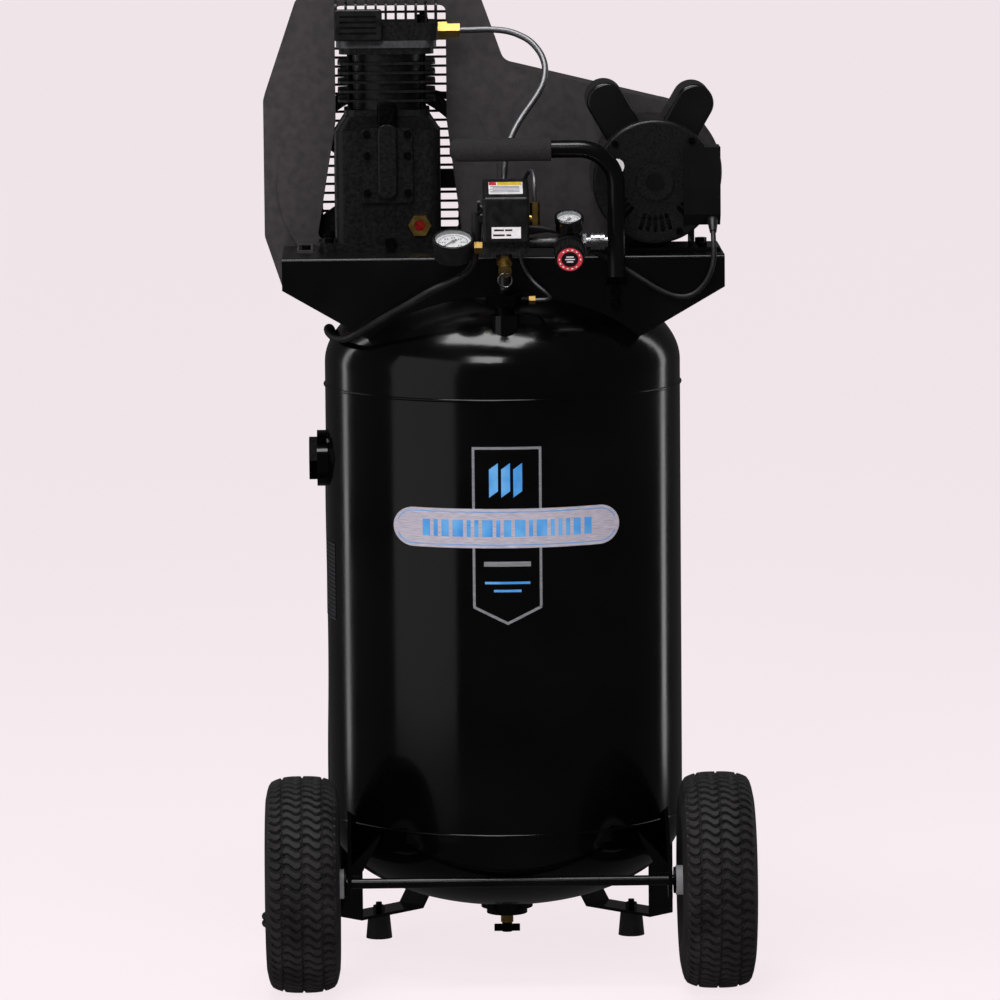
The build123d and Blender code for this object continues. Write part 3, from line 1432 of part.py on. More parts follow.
# the two gauges, alike but for their size: case, glass and needle
tank_dial = from_tank(tank_gauge_x, -189, 939)
outlet_dial = along(regulator_at, gauge_dir, gauge_back + outlet_gauge_depth)
gauge_stem_y = tank_y - 184
gauge_stem_z = 927
hex_left = -37
dial_depth = 6
glass_t = 1.6
glass_in = 1
pivot_r = 0.9
for name, dial, radius, depth in (
    ("tank", tank_dial, tank_gauge_r, tank_gauge_depth),
    ("outlet", outlet_dial, outlet_gauge_r, outlet_gauge_depth - seat_gap),
):
    with BuildPart() as gauge:
        with BuildSketch(line_plane(dial, gauge_dir)):
            Circle(radius - 1.5)
        extrude(amount=-depth)
        with BuildSketch(line_plane(dial, gauge_dir)):
            Circle(radius)
        extrude(amount=-8)
        if name == "tank":
            with BuildSketch(Plane.YZ.offset(hex_left)):
                with Locations((gauge_stem_y, gauge_stem_z)):
                    Circle(5)
            extrude(amount=-8)
        fillet(gauge.faces().sort_by(Axis.Z)[-1].edges(), radius=1)
        with BuildSketch(line_plane(dial, gauge_dir)):
            Circle(radius - 3)
        extrude(amount=-dial_depth, mode=Mode.SUBTRACT)
        with BuildSketch(line_plane(dial, gauge_dir)):
            Circle(pivot_r + running_gap)
        extrude(amount=-dial_depth - 5, mode=Mode.SUBTRACT)
    gauge.part.label = f"{name}_gauge"
    export_step(gauge.part, f"parts/{name}_gauge.step")

    needle_r = radius - 6
    with BuildPart() as needle:
        with BuildSketch(line_plane(along(dial, gauge_dir, -4.4), gauge_dir)):
            Circle(2.4)
            with BuildLine():
                Polyline((0.9, 0), (0.3, needle_r), (-0.3, needle_r), (-0.9, 0), (-1.4, -0.3 * needle_r))
                Line((-1.4, -0.3 * needle_r), (1.4, -0.3 * needle_r))
                Line((1.4, -0.3 * needle_r), (0.9, 0))
            make_face()
        extrude(amount=0.8)
        with BuildSketch(line_plane(along(dial, gauge_dir, -4), gauge_dir)):
            Circle(pivot_r)
        extrude(amount=-5)
    turned = needle.part.rotate(Axis(dial, gauge_dir), 135)
    turned.label = f"{name}_gauge_needle"
    export_step(turned, f"parts/{name}_gauge_needle.step")

with BuildPart() as gauge_lenses:
    for dial, radius in ((tank_dial, tank_gauge_r), (outlet_dial, outlet_gauge_r)):
        with BuildSketch(line_plane(along(dial, gauge_dir, -glass_in), gauge_dir)):
            Circle(radius - 3 - seat_gap)
        extrude(amount=-glass_t)
gauge_lenses.part.label = "gauge_lenses"
export_step(gauge_lenses.part, "parts/gauge_lenses.step")

# outlet coupler and its sleeve
coupler_hex = 101.4
coupler_end = 128
coupler_r = 8
coupler_bore = 5
sleeve_left = 107
sleeve_right = 124
sleeve_r = 12.5
with BuildPart() as outlet_coupler:
    with BuildSketch(Plane.YZ.offset(regulator_right + seat_gap)):
        with Locations((riser_y, regulator_z)):
            RegularPolygon(11, 6, major_radius=False)
    extrude(amount=coupler_hex - regulator_right - seat_gap)
    with BuildSketch(Plane.YZ.offset(coupler_hex)):
        with Locations((riser_y, regulator_z)):
            Circle(coupler_r)
    extrude(amount=coupler_end - coupler_hex)
    with BuildSketch(Plane.YZ.offset(coupler_end)):
        with Locations((riser_y, regulator_z)):
            Circle(coupler_bore)
    extrude(amount=-22, mode=Mode.SUBTRACT)
outlet_coupler.part.label = "outlet_coupler"
export_step(outlet_coupler.part, "parts/outlet_coupler.step")

with BuildPart() as coupler_sleeve:
    with BuildSketch(Plane.YZ.offset(sleeve_left)):
        with Locations((riser_y, regulator_z)):
            Circle(sleeve_r)
    extrude(amount=sleeve_right - sleeve_left)
    for x in (sleeve_left + 3.5, sleeve_right - 5):
        with BuildSketch(Plane.YZ.offset(x)):
            with Locations((riser_y, regulator_z)):
                Circle(sleeve_r)
                Circle(sleeve_r - 0.8, mode=Mode.SUBTRACT)
        extrude(amount=1.5, mode=Mode.SUBTRACT)
    with BuildSketch(Plane.YZ.offset(sleeve_left)):
        with Locations((riser_y, regulator_z)):
            Circle(coupler_r + running_gap)
    extrude(amount=sleeve_right - sleeve_left, mode=Mode.SUBTRACT)
coupler_sleeve.part.label = "coupler_sleeve"
export_step(coupler_sleeve.part, "parts/coupler_sleeve.step")

# ---------------------------------------------------------------- brass fittings

head_right = pump_x + head_w / 2
nut_end = head_right + 28
back_nut_end = check_back + 8
right_nut_end = check_right + 8
fitting_x = 38
fitting_y = tank_y - 195
fitting_low = 955
fitting_top = 983
fitting_in = 10
relief_end = 40
relief_pin_r = 2.2
drain_pin_r = 3
drain_shoulder = 44
drain_pin_low = 33
with BuildPart() as brass_fittings:
    # nut of the discharge tube at the cylinder head
    for start, end, flats in ((head_right + seat_gap, head_right + 12, 11), (head_right + 12, nut_end, 8.5)):
        with BuildSketch(Plane.YZ.offset(start)):
            with Locations((pump_y, outlet_z)):
                RegularPolygon(flats, 6, major_radius=False)
        extrude(amount=end - start)
    with BuildSketch(Plane.YZ.offset(head_right)):
        with Locations((pump_y, outlet_z)):
            Circle(discharge_r + seat_gap)
    extrude(amount=nut_end - head_right, mode=Mode.SUBTRACT)
    # nuts of both tubes at the check valve
    with BuildSketch(front_plane(back_nut_end)):
        with Locations((0, check_port_z)):
            RegularPolygon(7.5, 6, major_radius=False)
            Circle(discharge_r + seat_gap, mode=Mode.SUBTRACT)
    extrude(amount=back_nut_end - check_back - seat_gap)
    with BuildSketch(Plane.YZ.offset(check_right + seat_gap)):
        with Locations((riser_y, check_port_z)):
            RegularPolygon(5, 6, major_radius=False)
            Circle(unloader_r + seat_gap, mode=Mode.SUBTRACT)
    extrude(amount=right_nut_end - check_right - seat_gap)
    # unloader elbow on the side of the pressure switch
    with BuildSketch(Plane.XY.offset(fitting_low)):
        with Locations((fitting_x, fitting_y)):
            RegularPolygon(5.5, 6, major_radius=False)
    extrude(amount=fitting_top - fitting_low)
    with BuildSketch(Plane.YZ.offset(switch_x + switch_half + seat_gap)):
        with Locations((fitting_y, fitting_low + 8)):
            Circle(5)
    extrude(amount=fitting_x - switch_x - switch_half)
    with BuildSketch(Plane.XY.offset(fitting_top)):
        with Locations((fitting_x, fitting_y)):
            Circle(unloader_r + seat_gap)
    extrude(amount=-fitting_in, mode=Mode.SUBTRACT)
    # hexagons behind the gauges
    with BuildSketch(Plane.YZ.offset(hex_left + seat_gap)):
        with Locations((gauge_stem_y, gauge_stem_z)):
            RegularPolygon(7, 6, major_radius=False)
    extrude(amount=manifold_left - hex_left - 2 * seat_gap)
    with BuildSketch(line_plane(along(regulator_at, gauge_dir, gauge_boss + seat_gap), gauge_dir)):
        RegularPolygon(7, 6, major_radius=False)
    extrude(amount=gauge_back - gauge_boss - seat_gap)
    # safety relief valve
    with BuildSketch(line_plane(along(relief_base, knob_dir, relief_boss + seat_gap), knob_dir)):
        RegularPolygon(8, 6, major_radius=False)
    extrude(amount=8)
    for start, end, radius in ((relief_boss + 8, relief_end - 6, 6.8), (relief_end - 6, relief_end, 8.2)):
        with BuildSketch(line_plane(along(relief_base, knob_dir, start), knob_dir)):
            Circle(radius)
        extrude(amount=end - start)
    with BuildSketch(line_plane(along(relief_base, knob_dir, relief_end), knob_dir)):
        Circle(relief_pin_r + running_gap)
    extrude(amount=-20, mode=Mode.SUBTRACT)
    # drain valve under the tank
    for low, high, radius in (
        (drain_shoulder, drain_step_low + 14, drain_bore_r - seat_gap),
        (drain_shoulder, drain_step_low - seat_gap, drain_bore_r + 2),
        (drain_pin_low, drain_shoulder, drain_pin_r),
    ):
        with BuildSketch(Plane.XY.offset(low)):
            with Locations((0, tank_y)):
                Circle(radius)
        extrude(amount=high - low)
brass_fittings.part.label = "brass_fittings"
export_step(brass_fittings.part, "parts/brass_fittings.step")

ring_r = 8.5
wire_r = 0.9
eye = along(relief_base, knob_dir, relief_end + 4)
with BuildPart() as relief_ring:
    with BuildSketch(line_plane(along(relief_base, knob_dir, relief_end - 18), knob_dir)):
        Circle(relief_pin_r)
    extrude(amount=25)
    with Locations(Location(eye, (0, 90, 0))):
        Cylinder(wire_r + 0.5, 10, mode=Mode.SUBTRACT)
    with Locations(Location((eye[0], eye[1], eye[2] - ring_r), (90, 0, 0))):
        Torus(ring_r, wire_r)
relief_ring.part.label = "relief_ring"
export_step(relief_ring.part, "parts/relief_ring.step")

with BuildPart() as drain_handle:
    with BuildSketch(Plane.XY.offset(drain_pin_low - 1.5)):
        with Locations((0, tank_y)):
            Circle(6.5)
    extrude(amount=drain_shoulder - drain_pin_low + 1.5 - body_gap)
    with BuildSketch(Plane.XY.offset(drain_pin_low - 1)):
        with Locations((0, tank_y)):
            RectangleRounded(33, 4, 1.9)
    extrude(amount=9)
    with BuildSketch(Plane.XY.offset(drain_pin_low - body_gap)):
        with Locations((0, tank_y)):
            Circle(drain_pin_r + running_gap)
    extrude(amount=drain_shoulder, mode=Mode.SUBTRACT)
drain_handle.part.label = "drain_handle"
export_step(drain_handle.part, "parts/drain_handle.step")

# ---------------------------------------------------------------- tubes and cords


def bend_radii(points):
    """One radius for each corner of a route, as wide as the straight runs beside it allow."""
    radii = []
    for before, here, after in zip(points, points[1:], points[2:]):
        come = Vector(*here) - Vector(*before)
        go = Vector(*after) - Vector(*here)
        radii.append(0.45 * min(come.length, go.length) / tan(radians(come.get_angle(go)) / 2))
    return radii


def way(start, towards):
    """Direction from one point to another."""
    return Vector(*towards) - Vector(*start)


discharge_points = [
    from_tank(-79, 10, outlet_z),
    from_tank(-36, 10, outlet_z),
    from_tank(-12, 6, 1186),
    from_tank(14, 0, 1183.5),
    from_tank(37.5, -10, 1173),
    from_tank(51.5, -21, 1157),
    from_tank(57, -35, 1140),
    from_tank(54, -50, 1121),
    from_tank(43, -66, 1103),
    from_tank(25, -85, 1081),
    from_tank(10, -103, 1056),
    from_tank(3, -116, 1028),
    from_tank(0.8, -128, 1000),
    from_tank(0, -139, 955),
    from_tank(0, -139, check_port_z),
    (0, check_back - 9, check_port_z),
]
unloader_points = [
    (fitting_x, fitting_y, fitting_top - fitting_in + 1),
    (fitting_x, fitting_y, 1006),
    from_tank(37, -178, 1019),
    from_tank(33, -154, 1020),
    from_tank(27, -132, 1008),
    from_tank(23, -130, 980),
    from_tank(21, -139, 950),
    from_tank(21, -143, 905),
    from_tank(36, -147, 880),
    from_tank(54, -160, 866),
    (58, riser_y, check_port_z),
    (check_right - 12, riser_y, check_port_z),
]
with BuildPart() as air_tubes:
    for points, radius in ((discharge_points, discharge_r), (unloader_points, unloader_r)):
        with BuildLine() as route:
            FilletPolyline(*points, radius=bend_radii(points))
        with BuildSketch(line_plane(points[0], way(points[0], points[1]), (0, 1, 0))):
            Circle(radius)
        sweep(path=route.line)
air_tubes.part.label = "air_tubes"
export_step(air_tubes.part, "parts/air_tubes.step")

# strain reliefs: an elbow and a straight one on the switch, one on the terminal box
gland_long = 20
elbow_at = from_tank(-34, -169, 962)
elbow_low = 932
cord_start = (elbow_at[0], elbow_at[1], 950)
motor_gland_at = (switch_x + switch_half + seat_gap, tank_y - 163, 947)
box_gland_dir = (0, -sqrt(0.5), -sqrt(0.5))
box_gland_at = along((262, box_front + box_chamfer / 2, box_low + box_chamfer / 2), box_gland_dir, seat_gap)
with BuildPart() as cord_glands:
    with BuildSketch(Plane.YZ.offset(elbow_at[0])):
        with Locations((elbow_at[1], elbow_at[2])):
            Circle(7)
    extrude(amount=switch_x - switch_half - seat_gap - elbow_at[0])
    with BuildSketch(Plane.XY.offset(elbow_at[2] + 7)):
        with Locations((elbow_at[0], elbow_at[1])):
            Circle(7)
    extrude(amount=-15)
    with BuildSketch(Plane.XY.offset(elbow_at[2] - 8)):
        with Locations((elbow_at[0], elbow_at[1])):
            Circle(7)
    with BuildSketch(Plane.XY.offset(elbow_low)):
        with Locations((elbow_at[0], elbow_at[1])):
            Circle(cord_d / 2 + 1)
    loft()
    with BuildSketch(Plane.XY.offset(elbow_low)):
        with Locations((elbow_at[0], elbow_at[1])):
            Circle(cord_d / 2 + seat_gap)
    extrude(amount=cord_start[2] - elbow_low, mode=Mode.SUBTRACT)
    for start, direction, across in (
        (motor_gland_at, (1, 0, 0), (0, 1, 0)),
        (box_gland_at, box_gland_dir, (1, 0, 0)),
    ):
        end = along(start, direction, gland_long)
        with BuildSketch(line_plane(start, direction, across)):
            Circle(7)
        with BuildSketch(line_plane(end, direction, across)):
            Circle(motor_cord_d / 2 + 1)
        loft()
        with BuildSketch(line_plane(end, direction, across)):
            Circle(motor_cord_d / 2 + seat_gap)
        extrude(amount=-gland_long / 2, mode=Mode.SUBTRACT)
cord_glands.part.label = "cord_glands"
export_step(cord_glands.part, "parts/cord_glands.step")

motor_cord_points = [
    along(motor_gland_at, (1, 0, 0), gland_long / 2),
    from_tank(62, -163, 947),
    from_tank(85, -152, 934),
    from_tank(107, -139, 920),
    from_tank(128, -131.5, 906),
    from_tank(152, -131.5, 894),
    from_tank(174, -136, 880),
    from_tank(195, -139, 867),
    from_tank(215, -141, 858.5),
    from_tank(235, -142, 860),
    from_tank(252, -142, 876),
    from_tank(262, -140, 900),
    along(box_gland_at, box_gland_dir, 38),
    along(box_gland_at, box_gland_dir, gland_long / 2),
]
with BuildPart() as motor_cord:
    with BuildLine() as motor_route:
        FilletPolyline(*motor_cord_points, radius=bend_radii(motor_cord_points))
    with BuildSketch(Plane.YZ.offset(motor_cord_points[0][0])):
        with Locations((motor_cord_points[0][1], motor_cord_points[0][2])):
            Circle(motor_cord_d / 2)
    sweep(path=motor_route.line)
motor_cord.part.label = "motor_cord"
export_step(motor_cord.part, "parts/motor_cord.step")

coil_at = (-268.5, tank_y + 190)
coil_mid_r = 45
coil_layers = 3
with BuildPart() as power_cord_coil:
    with BuildSketch(Plane.XY):
        with Locations(coil_at):
            Circle(coil_mid_r + cord_d / 2)
            Circle(coil_mid_r - cord_d / 2, mode=Mode.SUBTRACT)
    extrude(amount=coil_layers * cord_d)
power_cord_coil.part.label = "power_cord_coil"
export_step(power_cord_coil.part, "parts/power_cord_coil.step")

power_cord_points = [
    cord_start,
    from_tank(-34, -169, 920),
    from_tank(-41, -173, 897),
    from_tank(-66, -180.5, 883.5),
    from_tank(-88, -182.5, 875.5),
    from_tank(-113, -178, 860),
    from_tank(-141, -167, 844),
    from_tank(-167, -150, 827),
    from_tank(-189, -131, 811),
    from_tank(-206, -92, 804.5),
    from_tank(-218, -50, 806),
    from_tank(-222.5, -8, 811),
    from_tank(-217, 34, 809),
    from_tank(-214, 72, 793),
    from_tank(-216, 90, 755),
    from_tank(-220, 92, 700),
    from_tank(-223, 94, 612),
    from_tank(-222, 99, 494),
    from_tank(-221, 97, 364),
    from_tank(-224, 95, 236),
    from_tank(-222, 97, 130),
    from_tank(-224, 99, 64),
    from_tank(-225.5, 112, 22),
    from_tank(-222.5, 143, 4.6),
    (coil_at[0] + coil_mid_r, coil_at[1] - 8, 4.6),
]
with BuildPart() as power_cord:
    with BuildLine() as power_route:
        FilletPolyline(*power_cord_points, radius=bend_radii(power_cord_points))
    with BuildSketch(Plane.XY.offset(cord_start[2])):
        with Locations((cord_start[0], cord_start[1])):
            Circle(cord_d / 2)
    sweep(path=power_route.line)
    add(power_cord_coil.part, mode=Mode.SUBTRACT)
power_cord.part.label = "power_cord"
export_step(power_cord.part, "parts/power_cord.step")

plug_turn = 20
plug_drop = 0.1
relief_long = 28
plug_long = 32
plug_dir = Vector(-sin(radians(plug_turn)), cos(radians(plug_turn)), -plug_drop).normalized()
plug_leave = (
    coil_at[0] + coil_mid_r * cos(radians(plug_turn)),
    coil_at[1] + coil_mid_r * sin(radians(plug_turn)),
    coil_layers * cord_d - cord_d / 2,
)
plug_side = (cos(radians(plug_turn)), sin(radians(plug_turn)), 0)
plug_neck = along(plug_leave, plug_dir, 10)
plug_body = along(plug_neck, plug_dir, relief_long)
plug_face = along(plug_body, plug_dir, plug_long)
with BuildPart() as power_plug:
    with BuildSketch(line_plane(plug_neck, plug_dir, plug_side)):
        Circle(cord_d / 2)
    with BuildSketch(line_plane(plug_body, plug_dir, plug_side)):
        Circle(7.5)
    loft()
    with BuildSketch(line_plane(plug_body, plug_dir, plug_side)):
        RectangleRounded(18, 17, 6)
    with BuildSketch(line_plane(along(plug_body, plug_dir, 10), plug_dir, plug_side)):
        RectangleRounded(25, 22, 8)
    loft()
    with BuildSketch(line_plane(along(plug_body, plug_dir, 10), plug_dir, plug_side)):
        RectangleRounded(25, 22, 8)
    extrude(amount=plug_long - 10)
    with BuildSketch(line_plane(plug_face, plug_dir, plug_side)):
        with Locations((-6.35, 2), (6.35, 2)):
            Rectangle(1.5, 6.4)
        with Locations((0, -7)):
            Circle(2.4)
    extrude(amount=17)
    add(power_cord_coil.part, mode=Mode.SUBTRACT)
power_plug.part.label = "power_plug"
export_step(power_plug.part, "parts/power_plug.step")

# ---------------------------------------------------------------- bolts

washer_r = 9
head_flats = 6.5
head_h = 5.5
nut_h = 6.5
with BuildPart() as frame_bolts:
    # motor base and guard tab, down through the platform
    for (x, y), top in [(at, platform_z + base_plate_t) for at in motor_bolts_at] + [
        (guard_tab_bolt, platform_z + seat_gap + 3)
    ]:
        with BuildSketch(Plane.XY.offset(top + seat_gap)):
            with Locations((x, y)):
                RegularPolygon(head_flats, 6, major_radius=False)
        extrude(amount=head_h)
        with BuildSketch(Plane.XY.offset(top + 1)):
            with Locations((x, y)):
                Circle(bolt_r)
        extrude(amount=platform_z - plate_t - nut_h - 3 - top)
        with BuildSketch(Plane.XY.offset(platform_z - plate_t - seat_gap)):
            with Locations((x, y)):
                RegularPolygon(head_flats, 6, major_radius=False)
        extrude(amount=-nut_h)
    # handle tab, through the front flange
    for z in handle_bolt_z:
        with BuildSketch(front_plane(platform_front - tab_t - 2 * seat_gap)):
            with Locations((handle_x, z)):
                RegularPolygon(head_flats, 6, major_radius=False)
        extrude(amount=head_h)
        with BuildSketch(front_plane(platform_front + plate_t + nut_h + 3)):
            with Locations((handle_x, z)):
                Circle(bolt_r)
        extrude(amount=plate_t + nut_h + 3 + tab_t + 1)
        with BuildSketch(front_plane(platform_front + plate_t + seat_gap + nut_h)):
            with Locations((handle_x, z)):
                RegularPolygon(head_flats, 6, major_radius=False)
        extrude(amount=nut_h)
    # belt guard, through the rear flange, each with a spacer
    for x, face in guard_bolts_at:
        with BuildSketch(front_plane(face + guard_t + seat_gap + head_h)):
            with Locations((x, guard_bolt_z)):
                RegularPolygon(head_flats, 6, major_radius=False)
        extrude(amount=head_h)
        with BuildSketch(front_plane(face + guard_t + 1)):
            with Locations((x, guard_bolt_z)):
                Circle(bolt_r)
        extrude(amount=face + guard_t + 1 - platform_back + plate_t + nut_h + 3)
        with BuildSketch(front_plane(face - seat_gap)):
            with Locations((x, guard_bolt_z)):
                Circle(washer_r - 2)
        extrude(amount=face - platform_back - 2 * seat_gap)
        with BuildSketch(front_plane(platform_back - plate_t - seat_gap)):
            with Locations((x, guard_bolt_z)):
                RegularPolygon(head_flats, 6, major_radius=False)
        extrude(amount=nut_h)
    # foot studs with their nuts above and heads inside the rubber
    for side in (-1, 1):
        for low, high, radius in ((4, foot_z + strap_t / 2 + nut_h + 4, foot_stud_r), (1, 5, 7)):
            with BuildSketch(Plane.XY.offset(low)):
                with Locations((side * foot_at[0], foot_at[1])):
                    Circle(radius)
            extrude(amount=high - low)
        with BuildSketch(Plane.XY.offset(foot_z + strap_t / 2 + seat_gap)):
            with Locations((side * foot_at[0], foot_at[1])):
                RegularPolygon(head_flats, 6, major_radius=False)
        extrude(amount=nut_h)
    # axle washers and caps
    for side in (-1, 1):
        for start, thick, radius in (
            (hub_in - body_gap - washer_t, washer_t, hub_r - 2),
            (hub_out + body_gap, washer_t, hub_r - 2),
            (hub_out + body_gap + washer_t, cap_t, axle_r + 3.5),
        ):
            with BuildSketch(Plane.YZ.offset(side * start)):
                with Locations((axle_y, axle_z)):
                    Circle(radius)
                    Circle(axle_r + seat_gap, mode=Mode.SUBTRACT)
            extrude(amount=side * thick)
    # screws of the motor's front bell
    for turn in bell_bolt_turns:
        spot = (motor_x + bell_bolt_r * cos(radians(turn)), motor_z + bell_bolt_r * sin(radians(turn)))
        for start, reach, radius in (
            (motor_front - bell_depth - seat_gap, 3.5, 4.4),
            (motor_front - bell_depth + 14, 15, 2.5),
        ):
            with BuildSketch(front_plane(start)):
                with Locations(spot):
                    Circle(radius)
            extrude(amount=reach)
frame_bolts.part.label = "frame_bolts"
export_step(frame_bolts.part, "parts/frame_bolts.step")
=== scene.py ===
import bpy
import bmesh
import random
from math import asin, cos, pi, radians, sin, sqrt
from mathutils import Matrix, Vector


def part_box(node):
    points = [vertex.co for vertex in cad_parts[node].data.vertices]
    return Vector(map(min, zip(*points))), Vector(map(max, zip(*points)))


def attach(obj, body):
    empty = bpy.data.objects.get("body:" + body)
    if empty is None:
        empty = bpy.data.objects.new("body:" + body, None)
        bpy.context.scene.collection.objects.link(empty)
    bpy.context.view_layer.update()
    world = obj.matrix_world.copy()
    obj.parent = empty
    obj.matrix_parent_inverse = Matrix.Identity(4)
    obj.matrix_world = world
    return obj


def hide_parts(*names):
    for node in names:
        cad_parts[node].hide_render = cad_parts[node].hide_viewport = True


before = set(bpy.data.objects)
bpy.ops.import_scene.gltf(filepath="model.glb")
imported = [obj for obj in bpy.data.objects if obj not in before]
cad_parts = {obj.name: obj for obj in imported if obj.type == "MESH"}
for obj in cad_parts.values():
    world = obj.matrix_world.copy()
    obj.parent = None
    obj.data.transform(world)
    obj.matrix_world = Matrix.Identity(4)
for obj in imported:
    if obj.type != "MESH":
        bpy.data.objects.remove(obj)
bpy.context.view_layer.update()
scene = bpy.context.scene
mm = 0.001

# ---------------------------------------------------------------- camera
# A long lens from about eight metres, a little above the tank's middle and looking slightly down,
# almost square to the front.

tank_r = 225 * mm
tank_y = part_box("tank_top_head")[0].y + tank_r
look_at = Vector((-0.0045, tank_y, 0.5885))
camera_away = 8.261
aim_down = radians(7.27)
aim_right = radians(1.05)
tilt = radians(0.5)
forward = Vector((sin(aim_right) * cos(aim_down), cos(aim_right) * cos(aim_down), -sin(aim_down)))
camera_data = bpy.data.cameras.new("camera")
camera_data.sensor_width = 36
camera_data.lens = 234
camera_data.clip_end = 200
camera = bpy.data.objects.new("camera", camera_data)
scene.collection.objects.link(camera)
camera.matrix_world = (
    Matrix.Translation(look_at - forward * camera_away)
    @ forward.to_track_quat("-Z", "Y").to_matrix().to_4x4()
    @ Matrix.Rotation(-tilt, 4, "Z")
)
scene.camera = camera
scene.view_settings.view_transform = "Standard"

# ---------------------------------------------------------------- power cord
# Three-core rubber mains lead, 9 mm thick and about 1.9 m long. It leaves the pressure switch through an
# elbow grommet, lies over the left shoulder of the tank and hangs behind it. Its spare length is coiled
# on the floor.


def linear(code):
    """Linear colour from an sRGB hex code."""
    parts = [int(code[i : i + 2], 16) / 255 for i in (1, 3, 5)]
    return tuple(c / 12.92 if c <= 0.04045 else ((c + 0.055) / 1.055) ** 2.4 for c in parts) + (1.0,)


def add(tree, kind, inputs=None, **settings):
    """A shader node with its settings, and for each input a value or the output that feeds it."""
    node = tree.nodes.new(kind)
    for name, value in settings.items():
        setattr(node, name, value)
    for name, value in (inputs or {}).items():
        if isinstance(value, bpy.types.NodeSocket):
            tree.links.new(value, node.inputs[name])
        else:
            node.inputs[name].default_value = value
    return node


def new_material(name, **surface):
    """A material with one Principled surface; returns it with its node tree and that surface."""
    material = bpy.data.materials.new(name)
    material.use_nodes = True
    tree = material.node_tree
    shader = tree.nodes["Principled BSDF"]
    for socket, value in surface.items():
        shader.inputs[socket.replace("_", " ")].default_value = value
    return material, tree, shader


def grain(tree, size, detail=2.0, stretch=(1, 1, 1)):
    """Noise whose grains are about this many metres across, in the object's own space."""
    place = add(tree, "ShaderNodeTexCoord").outputs["Object"]
    scaled = add(tree, "ShaderNodeMapping", {"Vector": place, "Scale": stretch}).outputs["Vector"]
    noise = add(tree, "ShaderNodeTexNoise", {"Vector": scaled, "Scale": 0.5 / size, "Detail": detail})
    return noise.outputs["Fac"]


def shade(tree, fac, low, high, from_min=0.35, from_max=0.65):
    """Colour between two hex codes, by a factor."""
    spread = add(tree, "ShaderNodeMapRange", {"Value": fac, "From Min": from_min, "From Max": from_max})
    mix = add(tree, "ShaderNodeMix", data_type="RGBA")
    tree.links.new(spread.outputs["Result"], mix.inputs[0])
    mix.inputs[6].default_value = linear(low)
    mix.inputs[7].default_value = linear(high)
    return mix.outputs[2]


def rough(tree, shader, fac, low, high):
    """Roughness that wanders between two values."""
    limits = {"From Min": 0.3, "From Max": 0.7, "To Min": low, "To Max": high}
    spread = add(tree, "ShaderNodeMapRange", {"Value": fac, **limits})
    tree.links.new(spread.outputs["Result"], shader.inputs["Roughness"])


def bump(tree, shader, height, depth, strength=1.0):
    """Relief of this many metres on the surface."""
    relief = add(tree, "ShaderNodeBump", {"Height": height, "Distance": depth, "Strength": strength})
    tree.links.new(relief.outputs["Normal"], shader.inputs["Normal"])


def finish_node(material, *nodes):
    """Gives carried-over nodes this material."""
    for name in nodes:
        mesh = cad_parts[name].data
        mesh.materials.clear()
        mesh.materials.append(material)


def cord_curve(name, points, thick, material):
    """A round cord as one smooth open spline through its control points."""
    data = bpy.data.curves.new(name, "CURVE")
    data.dimensions = "3D"
    data.bevel_depth = thick / 2
    data.bevel_resolution = 5
    data.resolution_u = 8
    data.use_fill_caps = True
    spline = data.splines.new("NURBS")
    spline.points.add(len(points) - 1)
    for point, place in zip(spline.points, points):
        point.co = (*place, 1)
    spline.order_u = 3
    spline.use_endpoint_u = True
    data.materials.append(material)
    cord = bpy.data.objects.new(name, data)
    scene.collection.objects.link(cord)
    return cord


# extruded rubber jacket: matt black, with a faint mottle from the mould talc
jacket, tree, shader = new_material("extruded_rubber_jacket", IOR=1.52, Roughness=0.5)
mottle = grain(tree, 6 * mm)
tree.links.new(shade(tree, mottle, "#0d0d0d", "#151414"), shader.inputs["Base Color"])
rough(tree, shader, mottle, 0.42, 0.6)
bump(tree, shader, grain(tree, 0.8 * mm), 0.05 * mm)


def from_tank(*place):
    """Millimetres from the tank axis and the floor, as a place in metres."""
    return (place[0] * mm, tank_y + place[1] * mm, place[2] * mm)


cord_thick = 9 * mm
route = [
    from_tank(-34, -169, 950),
    from_tank(-34, -169, 920),
    from_tank(-41, -173, 897),
    from_tank(-66, -180.5, 883.5),
    from_tank(-88, -182.5, 875.5),
    from_tank(-113, -178, 860),
    from_tank(-141, -167, 844),
    from_tank(-167, -150, 827),
    from_tank(-189, -131, 811),
    from_tank(-206, -92, 804.5),
    from_tank(-218, -50, 806),
    from_tank(-222.5, -8, 811),
    from_tank(-217, 34, 809),
    from_tank(-214, 72, 793),
    from_tank(-216, 90, 755),
    from_tank(-220, 92, 700),
    from_tank(-223, 94, 612),
    from_tank(-222, 99, 494),
    from_tank(-221, 97, 364),
    from_tank(-224, 95, 236),
    from_tank(-222, 97, 130),
    from_tank(-224, 99, 64),
    from_tank(-225.5, 112, 22),
    from_tank(-222.5, 143, 4.6),
    from_tank(-223.5, 182, 4.6),
]
coil_low, coil_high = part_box("power_cord_coil")
coil_middle = (coil_low + coil_high) / 2
coil_radius = 45 * mm
turn_points = 14
coil_turns = 2
leave_turn = radians(20)
steps = coil_turns * turn_points + 1
